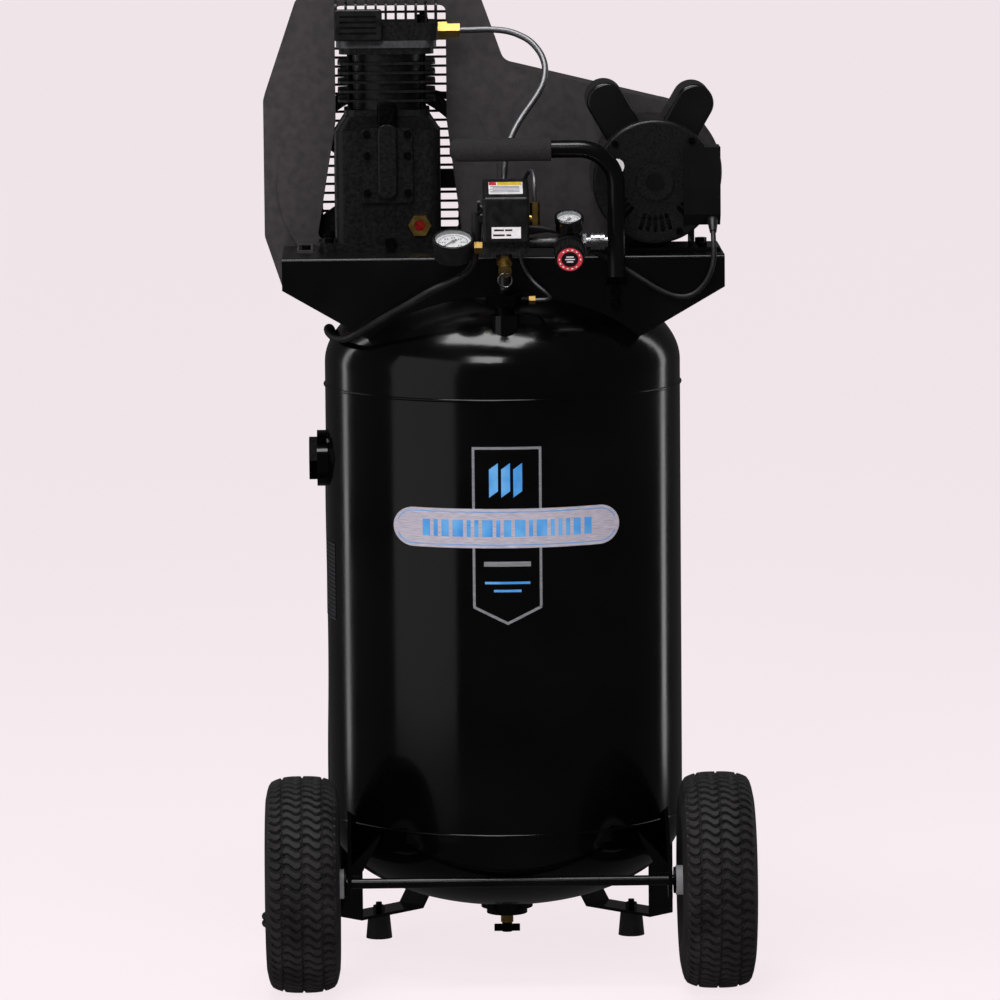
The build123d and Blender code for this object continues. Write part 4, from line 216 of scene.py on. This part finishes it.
# a spline runs inside its control points, so they stand a little further out
reach = coil_radius / (0.75 + 0.25 * cos(2 * pi / turn_points))
for i in range(1, steps):
    turn = (coil_turns * 2 * pi + leave_turn) * i / steps
    rise = 4.6 * mm + cord_thick * turn / (2 * pi)
    route.append((coil_middle.x + reach * cos(turn), coil_middle.y + reach * sin(turn), min(rise, 22.5 * mm)))
plug_dir = Vector((-sin(leave_turn), cos(leave_turn), -0.1)).normalized()
leave_z = 22.5 * mm
plug_leave = coil_middle + Vector((cos(leave_turn), sin(leave_turn), 0)) * coil_radius
plug_leave.z = leave_z
route.append(tuple(plug_leave))
route.append(tuple(plug_leave + plug_dir * 13 * mm))
power_cord = cord_curve("mains_lead", route, cord_thick, jacket)
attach(power_cord, "machine")
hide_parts("power_cord", "power_cord_coil")

# moulded PVC plug and grommets: satin black
moulded_pvc, tree, shader = new_material("moulded_pvc", IOR=1.5, Roughness=0.4)
mottle = grain(tree, 5 * mm)
tree.links.new(shade(tree, mottle, "#121213", "#1a1a1b"), shader.inputs["Base Color"])
rough(tree, shader, mottle, 0.34, 0.5)
bump(tree, shader, grain(tree, 0.6 * mm), 0.03 * mm)
finish_node(moulded_pvc, "power_plug", "cord_glands")

# ---------------------------------------------------------------- motor cord
# Short jacketed lead from the pressure switch to the motor's terminal box. It ducks behind the handle's leg
# and hangs in one slack bend before the front flange of the platform.

motor_cord_thick = 6.5 * mm
gland_dir = Vector((0, -sqrt(0.5), -sqrt(0.5)))
box_gland = Vector(from_tank(262, -105, 952)) + gland_dir * 0.05 * mm
motor_route = [
    from_tank(40.85, -163, 947),
    from_tank(62, -163, 947),
    from_tank(85, -152, 934),
    from_tank(107, -139, 920),
    from_tank(128, -131.5, 906),
    from_tank(152, -131.5, 894),
    from_tank(174, -136, 880),
    from_tank(195, -139, 867),
    from_tank(215, -141, 858.5),
    from_tank(235, -142, 860),
    from_tank(252, -142, 876),
    from_tank(262, -140, 900),
    tuple(box_gland + gland_dir * 38 * mm),
    tuple(box_gland + gland_dir * 10 * mm),
]
motor_cord = cord_curve("motor_lead", motor_route, motor_cord_thick, jacket)
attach(motor_cord, "machine")
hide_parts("motor_cord")

# ---------------------------------------------------------------- studio
# A pale seamless floor that runs far behind the machine, with a broad dim panel at the left front, a
# narrow strip behind each side, soft boxes overhead, and two that only fill the shadows.

paper, tree, shader = new_material("studio_paper", Roughness=0.9)
tree.links.new(shade(tree, grain(tree, 0.9), "#6d686a", "#726c6e"), shader.inputs["Base Color"])
shader.inputs["Emission Color"].default_value = linear("#f9eef2")
shader.inputs["Emission Strength"].default_value = 0.9
floor_mesh = bpy.data.meshes.new("studio_floor")
shape = bmesh.new()
bmesh.ops.create_grid(shape, x_segments=8, y_segments=8, size=60)
shape.to_mesh(floor_mesh)
shape.free()
floor_mesh.materials.append(paper)
floor = bpy.data.objects.new("studio_floor", floor_mesh)
scene.collection.objects.link(floor)
floor.visible_glossy = False


def soft_box(name, place, look, width, height, radiance, mirrored=True):
    """A rectangular soft light aimed at a point. The gloss shows only the mirrored ones."""
    data = bpy.data.lights.new(name, "AREA")
    data.shape = "RECTANGLE"
    data.size = width
    data.size_y = height
    data.energy = radiance * pi * width * height
    light = bpy.data.objects.new(name, data)
    scene.collection.objects.link(light)
    light.location = place
    light.rotation_euler = (Vector(look) - Vector(place)).to_track_quat("-Z", "Y").to_euler()
    light.visible_glossy = mirrored
    return light


# the broad dim panel at the left is what draws the long soft band down the gloss of the tank
soft_box("left_panel", (-2.75, -2.0, 1.3), (0, tank_y, 0.8), 2.9, 3.2, 0.42)
soft_box("left_strip", (-2.4, 1.5, 1.2), (0, tank_y, 0.6), 0.25, 3.0, 2.2)
soft_box("right_strip", (2.4, 1.6, 1.2), (0, tank_y, 0.6), 0.3, 3.0, 2.2)
soft_box("overhead", (-0.3, -0.6, 3.3), (0, 0, 1.0), 1.8, 0.9, 8)
soft_box("high_front", (-0.7, -3.2, 3.3), (0, 0, 0.9), 1.3, 0.9, 7)
soft_box("front_fill", (-1.6, -5.5, 2.6), (0, 0, 0.8), 2.0, 2.0, 7, mirrored=False)
soft_box("right_fill", (3.0, -4.0, 1.8), (0, 0, 0.9), 1.4, 1.8, 4, mirrored=False)
world = bpy.data.worlds.new("studio_air")
world.use_nodes = True
world.node_tree.nodes["Background"].inputs["Color"].default_value = linear("#f4eef0")
world.node_tree.nodes["Background"].inputs["Strength"].default_value = 0.05
scene.world = world

# ---------------------------------------------------------------- tank
# Rolled steel shell between two pressed heads, welded all round, and sprayed with a gloss black enamel.


def enamel(name, low, high, smooth, dull, peel=0.02):
    """Sprayed enamel: near-black paint with orange peel and a little dust in the gloss."""
    material, tree, shader = new_material(name, IOR=1.45)
    cloud = grain(tree, 60 * mm, 4)
    tree.links.new(shade(tree, cloud, low, high), shader.inputs["Base Color"])
    rough(tree, shader, cloud, smooth, dull)
    bump(tree, shader, grain(tree, 2.5 * mm), peel * mm)
    return material


gloss_enamel = enamel("gloss_black_enamel", "#020202", "#050505", 0.1, 0.17)
finish_node(gloss_enamel, "tank_shell", "tank_top_head", "tank_bottom_head")
finish_node(gloss_enamel, "axle_brackets", "rear_foot_straps")


def on_tank(x, z, lift):
    """A place on the front of the shell, lifted off it; x is measured straight across."""
    side = asin(max(-1, min(1, x / tank_r)))
    return ((tank_r + lift) * sin(side), tank_y - (tank_r + lift) * cos(side), z)


def shown(name, mesh, body, material):
    """Puts a mesh in the scene as a piece that rides on a body."""
    mesh.materials.append(material)
    piece = bpy.data.objects.new(name, mesh)
    scene.collection.objects.link(piece)
    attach(piece, body)
    return piece


def mesh_of(name, verts, faces, smooth=False):
    """A mesh from its corners and faces."""
    mesh = bpy.data.meshes.new(name)
    mesh.from_pydata([tuple(v) for v in verts], [], faces)
    mesh.validate()
    if smooth:
        mesh.shade_smooth()
    mesh.update()
    return mesh


def tank_decal(name, columns, material, lift=0.25 * mm, thick=0.2 * mm):
    """A thin sticker on the shell: each column is x with the low and high z of the sticker there."""
    verts = []
    for x, low, high in columns:
        for z in (low, high):
            verts.append(on_tank(x, z, lift))
            verts.append(on_tank(x, z, lift - thick))
    faces = []
    for i in range(len(columns) - 1):
        a, b = 4 * i, 4 * i + 4
        faces += [(a, b, b + 2, a + 2), (a + 1, a + 3, b + 3, b + 1)]
        faces += [(a + 2, b + 2, b + 3, a + 3), (a, a + 1, b + 1, b)]
    last = 4 * (len(columns) - 1)
    faces += [(0, 2, 3, 1), (last, last + 1, last + 3, last + 2)]
    return shown(name, mesh_of(name, verts, faces), "machine", material)


# printed vinyl: silver ink for the outline and the badge, blue ink for the mark
silver_ink, tree, shader = new_material("silver_printed_vinyl", IOR=1.5, Roughness=0.3, Metallic=0.6)
streak = grain(tree, 8 * mm, 3, (1, 1, 30))
tree.links.new(shade(tree, streak, "#9aa0a6", "#c3c6cb"), shader.inputs["Base Color"])
rough(tree, shader, streak, 0.28, 0.4)
badge_ink, tree, shader = new_material("brushed_badge_vinyl", IOR=1.5, Metallic=0.25)
streak = grain(tree, 6 * mm, 4, (1, 1, 40))
tree.links.new(shade(tree, streak, "#a9a3b4", "#ddd8e2"), shader.inputs["Base Color"])
rough(tree, shader, streak, 0.35, 0.5)
blue_ink, tree, shader = new_material("blue_printed_vinyl", IOR=1.5)
streak = grain(tree, 12 * mm, 2)
tree.links.new(shade(tree, streak, "#3d8fd6", "#63abe6"), shader.inputs["Base Color"])
rough(tree, shader, streak, 0.3, 0.4)

shield_half = 43 * mm
shield_top = 683 * mm
shield_side = 482 * mm
shield_tip = 461 * mm
line_w = 3.2 * mm
across = [shield_half * i / 12 for i in range(-12, 13)]


def shield_edge(x):
    """Height of the shield's pointed lower edge."""
    return shield_tip + (shield_side - shield_tip) * abs(x) / shield_half


tank_decal("shield_top_line", [(x, shield_top - line_w, shield_top) for x in across], silver_ink)
point_line = [(x, shield_edge(x), shield_edge(x) + 1.15 * line_w) for x in across]
tank_decal("shield_point_line", point_line, silver_ink)
for side, word in ((-1, "left"), (1, "right")):
    edge = sorted((side * shield_half, side * (shield_half - line_w)))
    tank_decal(f"shield_{word}_line", [(x, shield_side, shield_top) for x in edge], silver_ink)

badge_half = 140 * mm
badge_low = 557 * mm
badge_high = 606 * mm
badge_r = (badge_high - badge_low) / 2


def badge_column(x, inset=0.0):
    """Low and high edge of the round-ended badge at a place across it."""
    over = max(0.0, abs(x) - (badge_half - badge_r))
    rise = sqrt(max(0.0, (badge_r - inset) ** 2 - over**2))
    middle = (badge_low + badge_high) / 2
    return (x, middle - rise, middle + rise)


ends = [badge_half - badge_r * (1 - cos(radians(a))) for a in range(0, 91, 10)]
straight = [badge_half * 0.8 * i / 16 for i in range(-16, 17)]
badge_x = sorted({round(x, 6) for x in ends + [-e for e in ends] + straight})
tank_decal("badge", [badge_column(x) for x in badge_x], badge_ink, lift=0.5 * mm)
rim_x = [x for x in badge_x if abs(x) < badge_half - 4 * mm]
for word, pick in (("upper", 2), ("lower", 1)):
    line = [(x, *sorted(badge_column(x, inset * mm)[pick] for inset in (3.5, 4.5))) for x in rim_x]
    tank_decal(f"badge_{word}_rule", line, blue_ink, lift=0.62 * mm)
rng = random.Random(7)
x = -104 * mm
while x < 100 * mm:
    width = rng.choice((5, 9, 13)) * mm
    columns = [(x + width * i / 2, 571 * mm, 592 * mm) for i in range(3)]
    tank_decal(f"badge_bar_{round(x / mm) + 200}", columns, blue_ink, lift=0.62 * mm)
    x += width + 4.5 * mm

# the mark above the badge: three leaning bars
for i in range(3):
    low_x = (-22 + 15 * i) * mm
    columns = [(low_x + 11 * mm * t, (620 + 8 * t) * mm, (655 + 8 * t) * mm) for t in (0, 0.5, 1)]
    tank_decal(f"mark_bar_{i + 1}", columns, blue_ink)
rules = ((29, 534, 540, silver_ink), (28, 512, 515, blue_ink), (17, 502, 505, blue_ink))
for i, (half, low, high, ink) in enumerate(rules):
    tank_decal(f"rule_{i + 1}", [(half * mm * t, low * mm, high * mm) for t in (-1, -0.5, 0, 0.5, 1)], ink)

# a dark data plate, riveted to a saddle on the left side of the shell
plate_paint, tree, shader = new_material("printed_data_plate", IOR=1.5)
place = add(tree, "ShaderNodeTexCoord").outputs["Object"]
# a line of print about every 5 mm
print_lines = add(tree, "ShaderNodeTexWave", {"Vector": place, "Scale": 60.0}, bands_direction="Z")
lines = print_lines.outputs["Fac"]
tree.links.new(shade(tree, lines, "#0d0d0e", "#3b3c40", 0.7, 0.95), shader.inputs["Base Color"])
rough(tree, shader, lines, 0.3, 0.45)
plate_columns = [(-sin(radians(a)) * tank_r, 447 * mm, 544 * mm) for a in (72, 76, 80, 84, 88, 89.9)]
tank_decal("data_plate", plate_columns, plate_paint, lift=0.6 * mm, thick=0.5 * mm)

# ---------------------------------------------------------------- platform, axle, feet and fasteners
# Bent steel plate across the top of the tank, bent strap feet, and a plain axle rod: all sprayed black.
# Bolts and nuts are zinc-plated steel that has gone dull.

satin_enamel = enamel("satin_black_enamel", "#030303", "#070707", 0.2, 0.3)
finish_node(satin_enamel, "platform", "axle_rod", "handle_tube")


def metal(name, low, high, smooth, dull, scratch=0.01, grain_size=1.5):
    """Bare or plated metal, with fine wear."""
    material, tree, shader = new_material(name, Metallic=1.0)
    wear = grain(tree, grain_size * mm, 4)
    tree.links.new(shade(tree, wear, low, high), shader.inputs["Base Color"])
    rough(tree, shader, wear, smooth, dull)
    bump(tree, shader, grain(tree, 0.5 * mm), scratch * mm)
    return material


zinc = metal("dull_zinc_plate", "#4a4a4c", "#6b6a6c", 0.35, 0.5)
dark_steel = metal("blackened_steel", "#161617", "#252526", 0.35, 0.5)
finish_node(dark_steel, "frame_bolts", "pump_bolts", "pipe_plugs", "drain_handle")
foot_rubber, tree, shader = new_material("moulded_foot_rubber", IOR=1.52)
mottle = grain(tree, 4 * mm)
tree.links.new(shade(tree, mottle, "#101010", "#191919"), shader.inputs["Base Color"])
rough(tree, shader, mottle, 0.6, 0.75)
finish_node(foot_rubber, "rubber_feet")

# ---------------------------------------------------------------- wheels
# Pneumatic turf tyres with a wavy ribbed tread, on pressed steel rims that are painted grey.

tyre_rubber, tree, shader = new_material("tyre_rubber", IOR=1.52)
dust = grain(tree, 18 * mm, 5)
tree.links.new(shade(tree, dust, "#191817", "#242322"), shader.inputs["Base Color"])
rough(tree, shader, dust, 0.55, 0.75)
bump(tree, shader, grain(tree, 0.7 * mm, 3), 0.06 * mm)

rib_count = 66
groove_deep = 3.8 * mm
wave_long = 25 * mm


def tyre_profile(radius, half):
    """Outside of the tyre's section from bead to bead, and back through the inside, as (across, radius)."""
    crown = half - 8 * mm
    side = [(half - 14 * mm, 0.45), (half - 6 * mm, 0.5), (half - 1.2 * mm, 0.6), (half - 0.2 * mm, 0.7)]
    side += [(half - 0.8 * mm, 0.79), (half - 3 * mm, 0.87), (half - 5 * mm, 0.915)]
    points = [(-x, share * radius) for x, share in side]
    count = 40
    for i in range(count + 1):
        across = crown * (2 * i / count - 1)
        points.append((across, radius - 7 * mm * abs(across / crown) ** 3.2))
    points += [(x, share * radius) for x, share in reversed(side)]
    return points + [(half - 15 * mm, 0.435 * radius), (-(half - 15 * mm), 0.435 * radius)]


def groove(turn, across, crown):
    """How deep the tread is cut here, from 0 to 1."""
    wave = 0.3 * sin(2 * pi * across / wave_long)
    place = (turn / (2 * pi) * rib_count + wave) % 1.0
    cut = max(0.0, min(1.0, (0.21 - abs(place - 0.5)) / 0.07))
    column = (across / (wave_long / 2) + 0.5) % 1.0
    slit = max(0.0, min(1.0, (0.07 - abs(column - 0.5)) / 0.05)) * 0.7
    edge = max(0.0, min(1.0, (crown + 3 * mm - abs(across)) / (3 * mm)))
    return max(cut, slit) * edge


def tyre(side):
    """One treaded tyre, as a ring of sections."""
    low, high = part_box(f"{side}_tyre")
    middle = (low + high) / 2
    radius = (high.z - low.z) / 2
    half = (high.x - low.x) / 2
    crown = half - 8 * mm
    profile = tyre_profile(radius, half)
    around = rib_count * 10
    verts = []
    for i in range(around):
        turn = 2 * pi * i / around
        for across, r in profile:
            if r > 0.9 * radius:
                r -= groove_deep * groove(turn, across, crown)
            verts.append((middle.x + across, middle.y + r * cos(turn), middle.z + r * sin(turn)))
    wide = len(profile)
    faces = []
    for i in range(around):
        a = i * wide
        b = (i + 1) % around * wide
        faces += [(a + j, a + (j + 1) % wide, b + (j + 1) % wide, b + j) for j in range(wide)]
    mesh = mesh_of(f"{side}_tread", verts, faces)
    piece = shown(f"{side}_treaded_tyre", mesh, f"{side}_wheel", tyre_rubber)
    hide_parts(f"{side}_tyre")


tyre("left")
tyre("right")
rim_paint = enamel("grey_rim_enamel", "#7a7a7c", "#8c8c8e", 0.35, 0.5)
finish_node(rim_paint, "left_rim", "right_rim")

# ---------------------------------------------------------------- handle
# Bent round tube, flattened and bolted at its foot, with a slipped-on foam grip.

foam, tree, shader = new_material("closed_cell_foam", IOR=1.45)
cells = grain(tree, 1.2 * mm, 3)
tree.links.new(shade(tree, cells, "#1b1a1b", "#2a292a"), shader.inputs["Base Color"])
rough(tree, shader, cells, 0.8, 0.95)
bump(tree, shader, cells, 0.25 * mm)
finish_node(foam, "handle_grip")

# ---------------------------------------------------------------- pump
# Cast-iron crankcase and cylinder with an aluminium head, all sprayed satin black over the sand-cast skin.

cast_paint, tree, shader = new_material("painted_sand_casting", IOR=1.45)
skin = grain(tree, 2.2 * mm, 5)
tree.links.new(shade(tree, skin, "#0a0a0b", "#131314"), shader.inputs["Base Color"])
rough(tree, shader, skin, 0.28, 0.46)
bump(tree, shader, skin, 0.4 * mm)
finish_node(cast_paint, "crankcase", "cylinder", "crankcase_cover")
head_paint, tree, shader = new_material("painted_die_casting", IOR=1.45)
skin = grain(tree, 1.2 * mm, 3)
tree.links.new(shade(tree, skin, "#0b0b0c", "#161617"), shader.inputs["Base Color"])
rough(tree, shader, skin, 0.25, 0.4)
bump(tree, shader, skin, 0.08 * mm)
finish_node(head_paint, "cylinder_head")
alloy = metal("bare_aluminium", "#7c7c7f", "#8f8f92", 0.42, 0.55)
machined = metal("machined_steel", "#6d6d6f", "#8a8a8c", 0.25, 0.4)
finish_node(alloy, "valve_plate", "piston", "connecting_rod")
finish_node(machined, "crankshaft", "bearings", "motor_rotor", "stator")


def plastic(name, low, high, smooth=0.3, dull=0.45, pimple=0.03):
    """Moulded plastic with a fine spark-eroded texture."""
    material, tree, shader = new_material(name, IOR=1.5)
    mottle = grain(tree, 5 * mm)
    tree.links.new(shade(tree, mottle, low, high), shader.inputs["Base Color"])
    rough(tree, shader, mottle, smooth, dull)
    bump(tree, shader, grain(tree, 0.7 * mm), pimple * mm)
    return material


black_plastic = plastic("black_moulded_plastic", "#0b0b0c", "#131314")
finish_node(black_plastic, "intake_filter", "switch_cover", "switch_lever", "regulator_knob")
brass = metal("turned_brass", "#c09a50", "#d2b067", 0.28, 0.4, 0.01, 6)
finish_node(brass, "sight_glass", "brass_fittings")
finish_node(dark_steel, "check_valve")


def facing(middle, normal, up):
    """Frame of a flat label: its middle, its right-hand, upward and outward directions."""
    normal = Vector(normal).normalized()
    up = (Vector(up) - normal * normal.dot(Vector(up))).normalized()
    return Vector(middle), up.cross(normal), up, normal


def slab(
    name, frame_of, x, y, width, height, material, slot, body="machine", low=0.0, high=0.3 * mm, turn=0.0
):
    """A thin rectangle on a face: its middle at x and y there, between two heights above the face."""
    middle, right, up, normal = frame_of
    verts = []
    for z in (low, high):
        for u, v in ((-1, -1), (1, -1), (1, 1), (-1, 1)):
            across = x + u * width / 2 * cos(turn) - v * height / 2 * sin(turn)
            along = y + u * width / 2 * sin(turn) + v * height / 2 * cos(turn)
            verts.append(middle + right * across + up * along + normal * z)
    faces = [(3, 2, 1, 0), (4, 5, 6, 7), (0, 1, 5, 4), (1, 2, 6, 5), (2, 3, 7, 6), (3, 0, 4, 7)]
    return shown(name, mesh_of(name, verts, faces), body, material)


def washer(
    name, frame_of, inner, outer, material, slot, body="machine", low=0.0, high=0.3 * mm, start=0, stop=360
):
    """A thin ring or arc on a face, between two heights above it; angles in degrees from the right."""
    middle, right, up, normal = frame_of
    whole = stop - start >= 360
    count = max(6, round((stop - start) / 6))
    verts = []
    for i in range(count + (0 if whole else 1)):
        turn = radians(start + (stop - start) * i / count)
        way = right * cos(turn) + up * sin(turn)
        for r, z in ((inner, low), (outer, low), (outer, high), (inner, high)):
            verts.append(middle + way * r + normal * z)
    sections = len(verts) // 4
    faces = []
    for i in range(sections if whole else sections - 1):
        a = 4 * i
        b = 4 * ((i + 1) % sections)
        faces += [(a + j, a + (j + 1) % 4, b + (j + 1) % 4, b + j) for j in range(4)]
    if not whole:
        faces += [(3, 2, 1, 0), tuple(len(verts) - 4 + j for j in range(4))]
    return shown(name, mesh_of(name, verts, faces), body, material)


oil_glass, tree, shader = new_material("oil_sight_window", IOR=1.5, Roughness=0.08)
tint = grain(tree, 3 * mm)
tree.links.new(shade(tree, tint, "#5a0d0a", "#8a1a12"), shader.inputs["Base Color"])
sight_face = facing((-103 * mm, 26.4 * mm, 942 * mm), (0, -1, 0), (0, 0, 1))
washer("oil_window", sight_face, 0.2 * mm, 6.9 * mm, oil_glass, "sight_plastic", high=1.2 * mm)

# ---------------------------------------------------------------- drive and belt guard
# Cast flywheel and motor pulley with one wrapped V-belt, inside a two-part vacuum-formed plastic guard.

guard_plastic = plastic("guard_plastic", "#353233", "#3f3b3d", 0.5, 0.62, 0.06)
finish_node(guard_plastic, "belt_guard_front", "belt_guard_back")
finish_node(cast_paint, "flywheel", "motor_pulley")
finish_node(foot_rubber, "drive_belt")

# ---------------------------------------------------------------- motor
# Rolled steel shell between two die-cast end bells, with pressed covers over its capacitors and terminals.

motor_enamel = enamel("motor_black_enamel", "#0a0a0b", "#121213", 0.18, 0.26)
finish_node(motor_enamel, "motor_shell", "motor_covers")
finish_node(head_paint, "motor_end_bells")
white_print = plastic("white_printed_label", "#d9d6d8", "#e9e6e8", 0.35, 0.5)
bell_face = facing((143 * mm, -36.5 * mm, 1019 * mm), (0, -1, 0), (0, 0, 1))
washer("motor_label", bell_face, 0.2 * mm, 9.5 * mm, white_print, "plug_steel", low=0.05 * mm)

# ---------------------------------------------------------------- controls
# Brass and steel manifold with a pressure switch, two Bourdon gauges, a regulator and a quick coupler.

steel_plate = metal("bright_nickel_plate", "#8f8f92", "#b2b2b4", 0.18, 0.3)
finish_node(steel_plate, "coupler_sleeve", "relief_ring", "outlet_coupler")
finish_node(alloy, "air_tubes")
finish_node(zinc, "manifold")
finish_node(black_plastic, "regulator_body")
gauge_case = metal("gauge_case_chrome", "#4c4d50", "#6d6e72", 0.16, 0.26)
finish_node(gauge_case, "outlet_gauge")
finish_node(black_plastic, "tank_gauge")
needle_paint = plastic("needle_paint", "#1a1a1b", "#242425")
finish_node(needle_paint, "tank_gauge_needle", "outlet_gauge_needle")
lens, tree, shader = new_material("gauge_lens", IOR=1.49, Alpha=0.12)
haze = grain(tree, 8 * mm)
tree.links.new(shade(tree, haze, "#e9edee", "#f4f6f6"), shader.inputs["Base Color"])
rough(tree, shader, haze, 0.03, 0.08)
finish_node(lens, "gauge_lenses")
dial_paper = plastic("printed_dial", "#dfdcdf", "#ecebed", 0.5, 0.6)
dial_ink = plastic("dial_ink", "#0d0d0e", "#151516", 0.5, 0.6)
red_print = plastic("red_printed_label", "#b3202c", "#cc3140", 0.35, 0.5)
yellow_print = plastic("yellow_printed_label", "#c9a51f", "#dbb833", 0.35, 0.5)
grey_print = plastic("grey_print", "#5f5e62", "#77767a", 0.4, 0.5)


gauge_tilt = radians(66)
dial_deep = 5.95 * mm
ink_low = 0.25 * mm
ink_high = 0.32 * mm


def dial(name, place, radius):
    """A gauge's white dial: its long and short marks, the arc that joins them, and plain figures."""
    axis = Vector((0, -cos(gauge_tilt), sin(gauge_tilt)))
    face = facing(Vector(place) * mm - axis * dial_deep, axis, (0, 0, 1))
    ink = {"low": ink_low, "high": ink_high}
    washer(f"{name}_dial", face, 0.2 * mm, radius, dial_paper, "gauge_case", high=ink_low)
    rim = (0.80 * radius, 0.83 * radius)
    washer(f"{name}_scale", face, *rim, dial_ink, "needle_paint", **ink, start=-45, stop=225)
    for i in range(31):
        turn = radians(225 - 9 * i)
        long_mark = i % 5 == 0
        reach = (0.15 if long_mark else 0.08) * radius
        place_r = 0.80 * radius - reach / 2
        wide = (0.045 if long_mark else 0.022) * radius
        at = (place_r * cos(turn), place_r * sin(turn))
        slab(f"{name}_mark_{i}", face, *at, reach, wide, dial_ink, "needle_paint", **ink, turn=turn)
    for i in range(7):
        turn = radians(225 - 45 * i)
        for j in range(1 if i == 0 else 2):
            across = 0.52 * radius * cos(turn) + (j - 0.5) * 0.13 * radius
            at = (across, 0.52 * radius * sin(turn))
            tall = (0.07 * radius, 0.13 * radius)
            slab(f"{name}_figure_{i}_{j}", face, *at, *tall, dial_ink, "needle_paint", **ink)


dial("tank_gauge", (-63, -129.5, 939), 22.3 * mm)
dial("outlet_gauge", (80, -139.55, 965.8), 14.8 * mm)

# regulator knob: a red ring with a few pale marks round a dark middle
knob_tilt = radians(22)
knob_face = facing(Vector((80, -167.15, 914.8)) * mm, (0, -cos(knob_tilt), -sin(knob_tilt)), (0, 0, 1))
washer(
    "knob_ring", knob_face, 10.5 * mm, 15.5 * mm, red_print, "knob_plastic", body="regulator_handwheel",
    low=0.02 * mm,
)
for i in range(14):
    if i % 7 == 6:
        continue
    turn = radians(i * 360 / 14)
    slab(
        f"knob_mark_{i}", knob_face, 13 * mm * cos(turn), 13 * mm * sin(turn), 2.4 * mm, 1.3 * mm, white_print,
        "knob_plastic", body="regulator_handwheel", low=0.3 * mm, high=0.4 * mm, turn=turn + pi / 2,
    )
for i, wide in enumerate((9, 12, 8)):
    slab(
        f"knob_line_{i}", knob_face, 0, (3.4 - 3.4 * i) * mm, wide * mm, 1.3 * mm, white_print,
        "knob_plastic", body="regulator_handwheel", low=0.02 * mm,
    )

# pressure switch: a caution sticker on the slanted top of the cover, and a rating sticker low on its front
cover_x = 2.3 * mm
slant = Vector((0, 52, 22)).normalized()
top_face = facing((cover_x, -124.5 * mm, 1001 * mm), (0, -slant.z, slant.y), slant)
slab("caution_sticker", top_face, 0, -2 * mm, 42 * mm, 32 * mm, white_print, "black_plastic", low=0.05 * mm)
ink = {"slot": "black_plastic", "low": 0.35 * mm, "high": 0.5 * mm}
slab("caution_red", top_face, -16 * mm, 9.5 * mm, 9 * mm, 8 * mm, red_print, **ink)
slab("caution_yellow", top_face, 5 * mm, 9.5 * mm, 30 * mm, 8 * mm, yellow_print, **ink)
for i in range(5):
    odd = i % 2
    at = ((1.5 * odd - 1) * mm, (2 - 3.6 * i) * mm)
    slab(f"caution_line_{i}", top_face, *at, (36 - 3 * odd) * mm, 1.3 * mm, grey_print, **ink)
front_face = facing((cover_x, -150.5 * mm, 947 * mm), (0, -1, 0), (0, 0, 1))
slab("rating_sticker", front_face, 0, 0, 36 * mm, 14 * mm, white_print, "black_plastic", low=0.05 * mm)
for i in range(4):
    at = ((-9 + 12 * (i % 2)) * mm, (3.2 if i < 2 else -3) * mm)
    wide = (12, 9, 14, 6)[i] * mm
    slab(
        f"rating_line_{i}", front_face, *at, wide, 2.2 * mm, dial_ink, "black_plastic", low=0.35 * mm,
        high=0.45 * mm,
    )
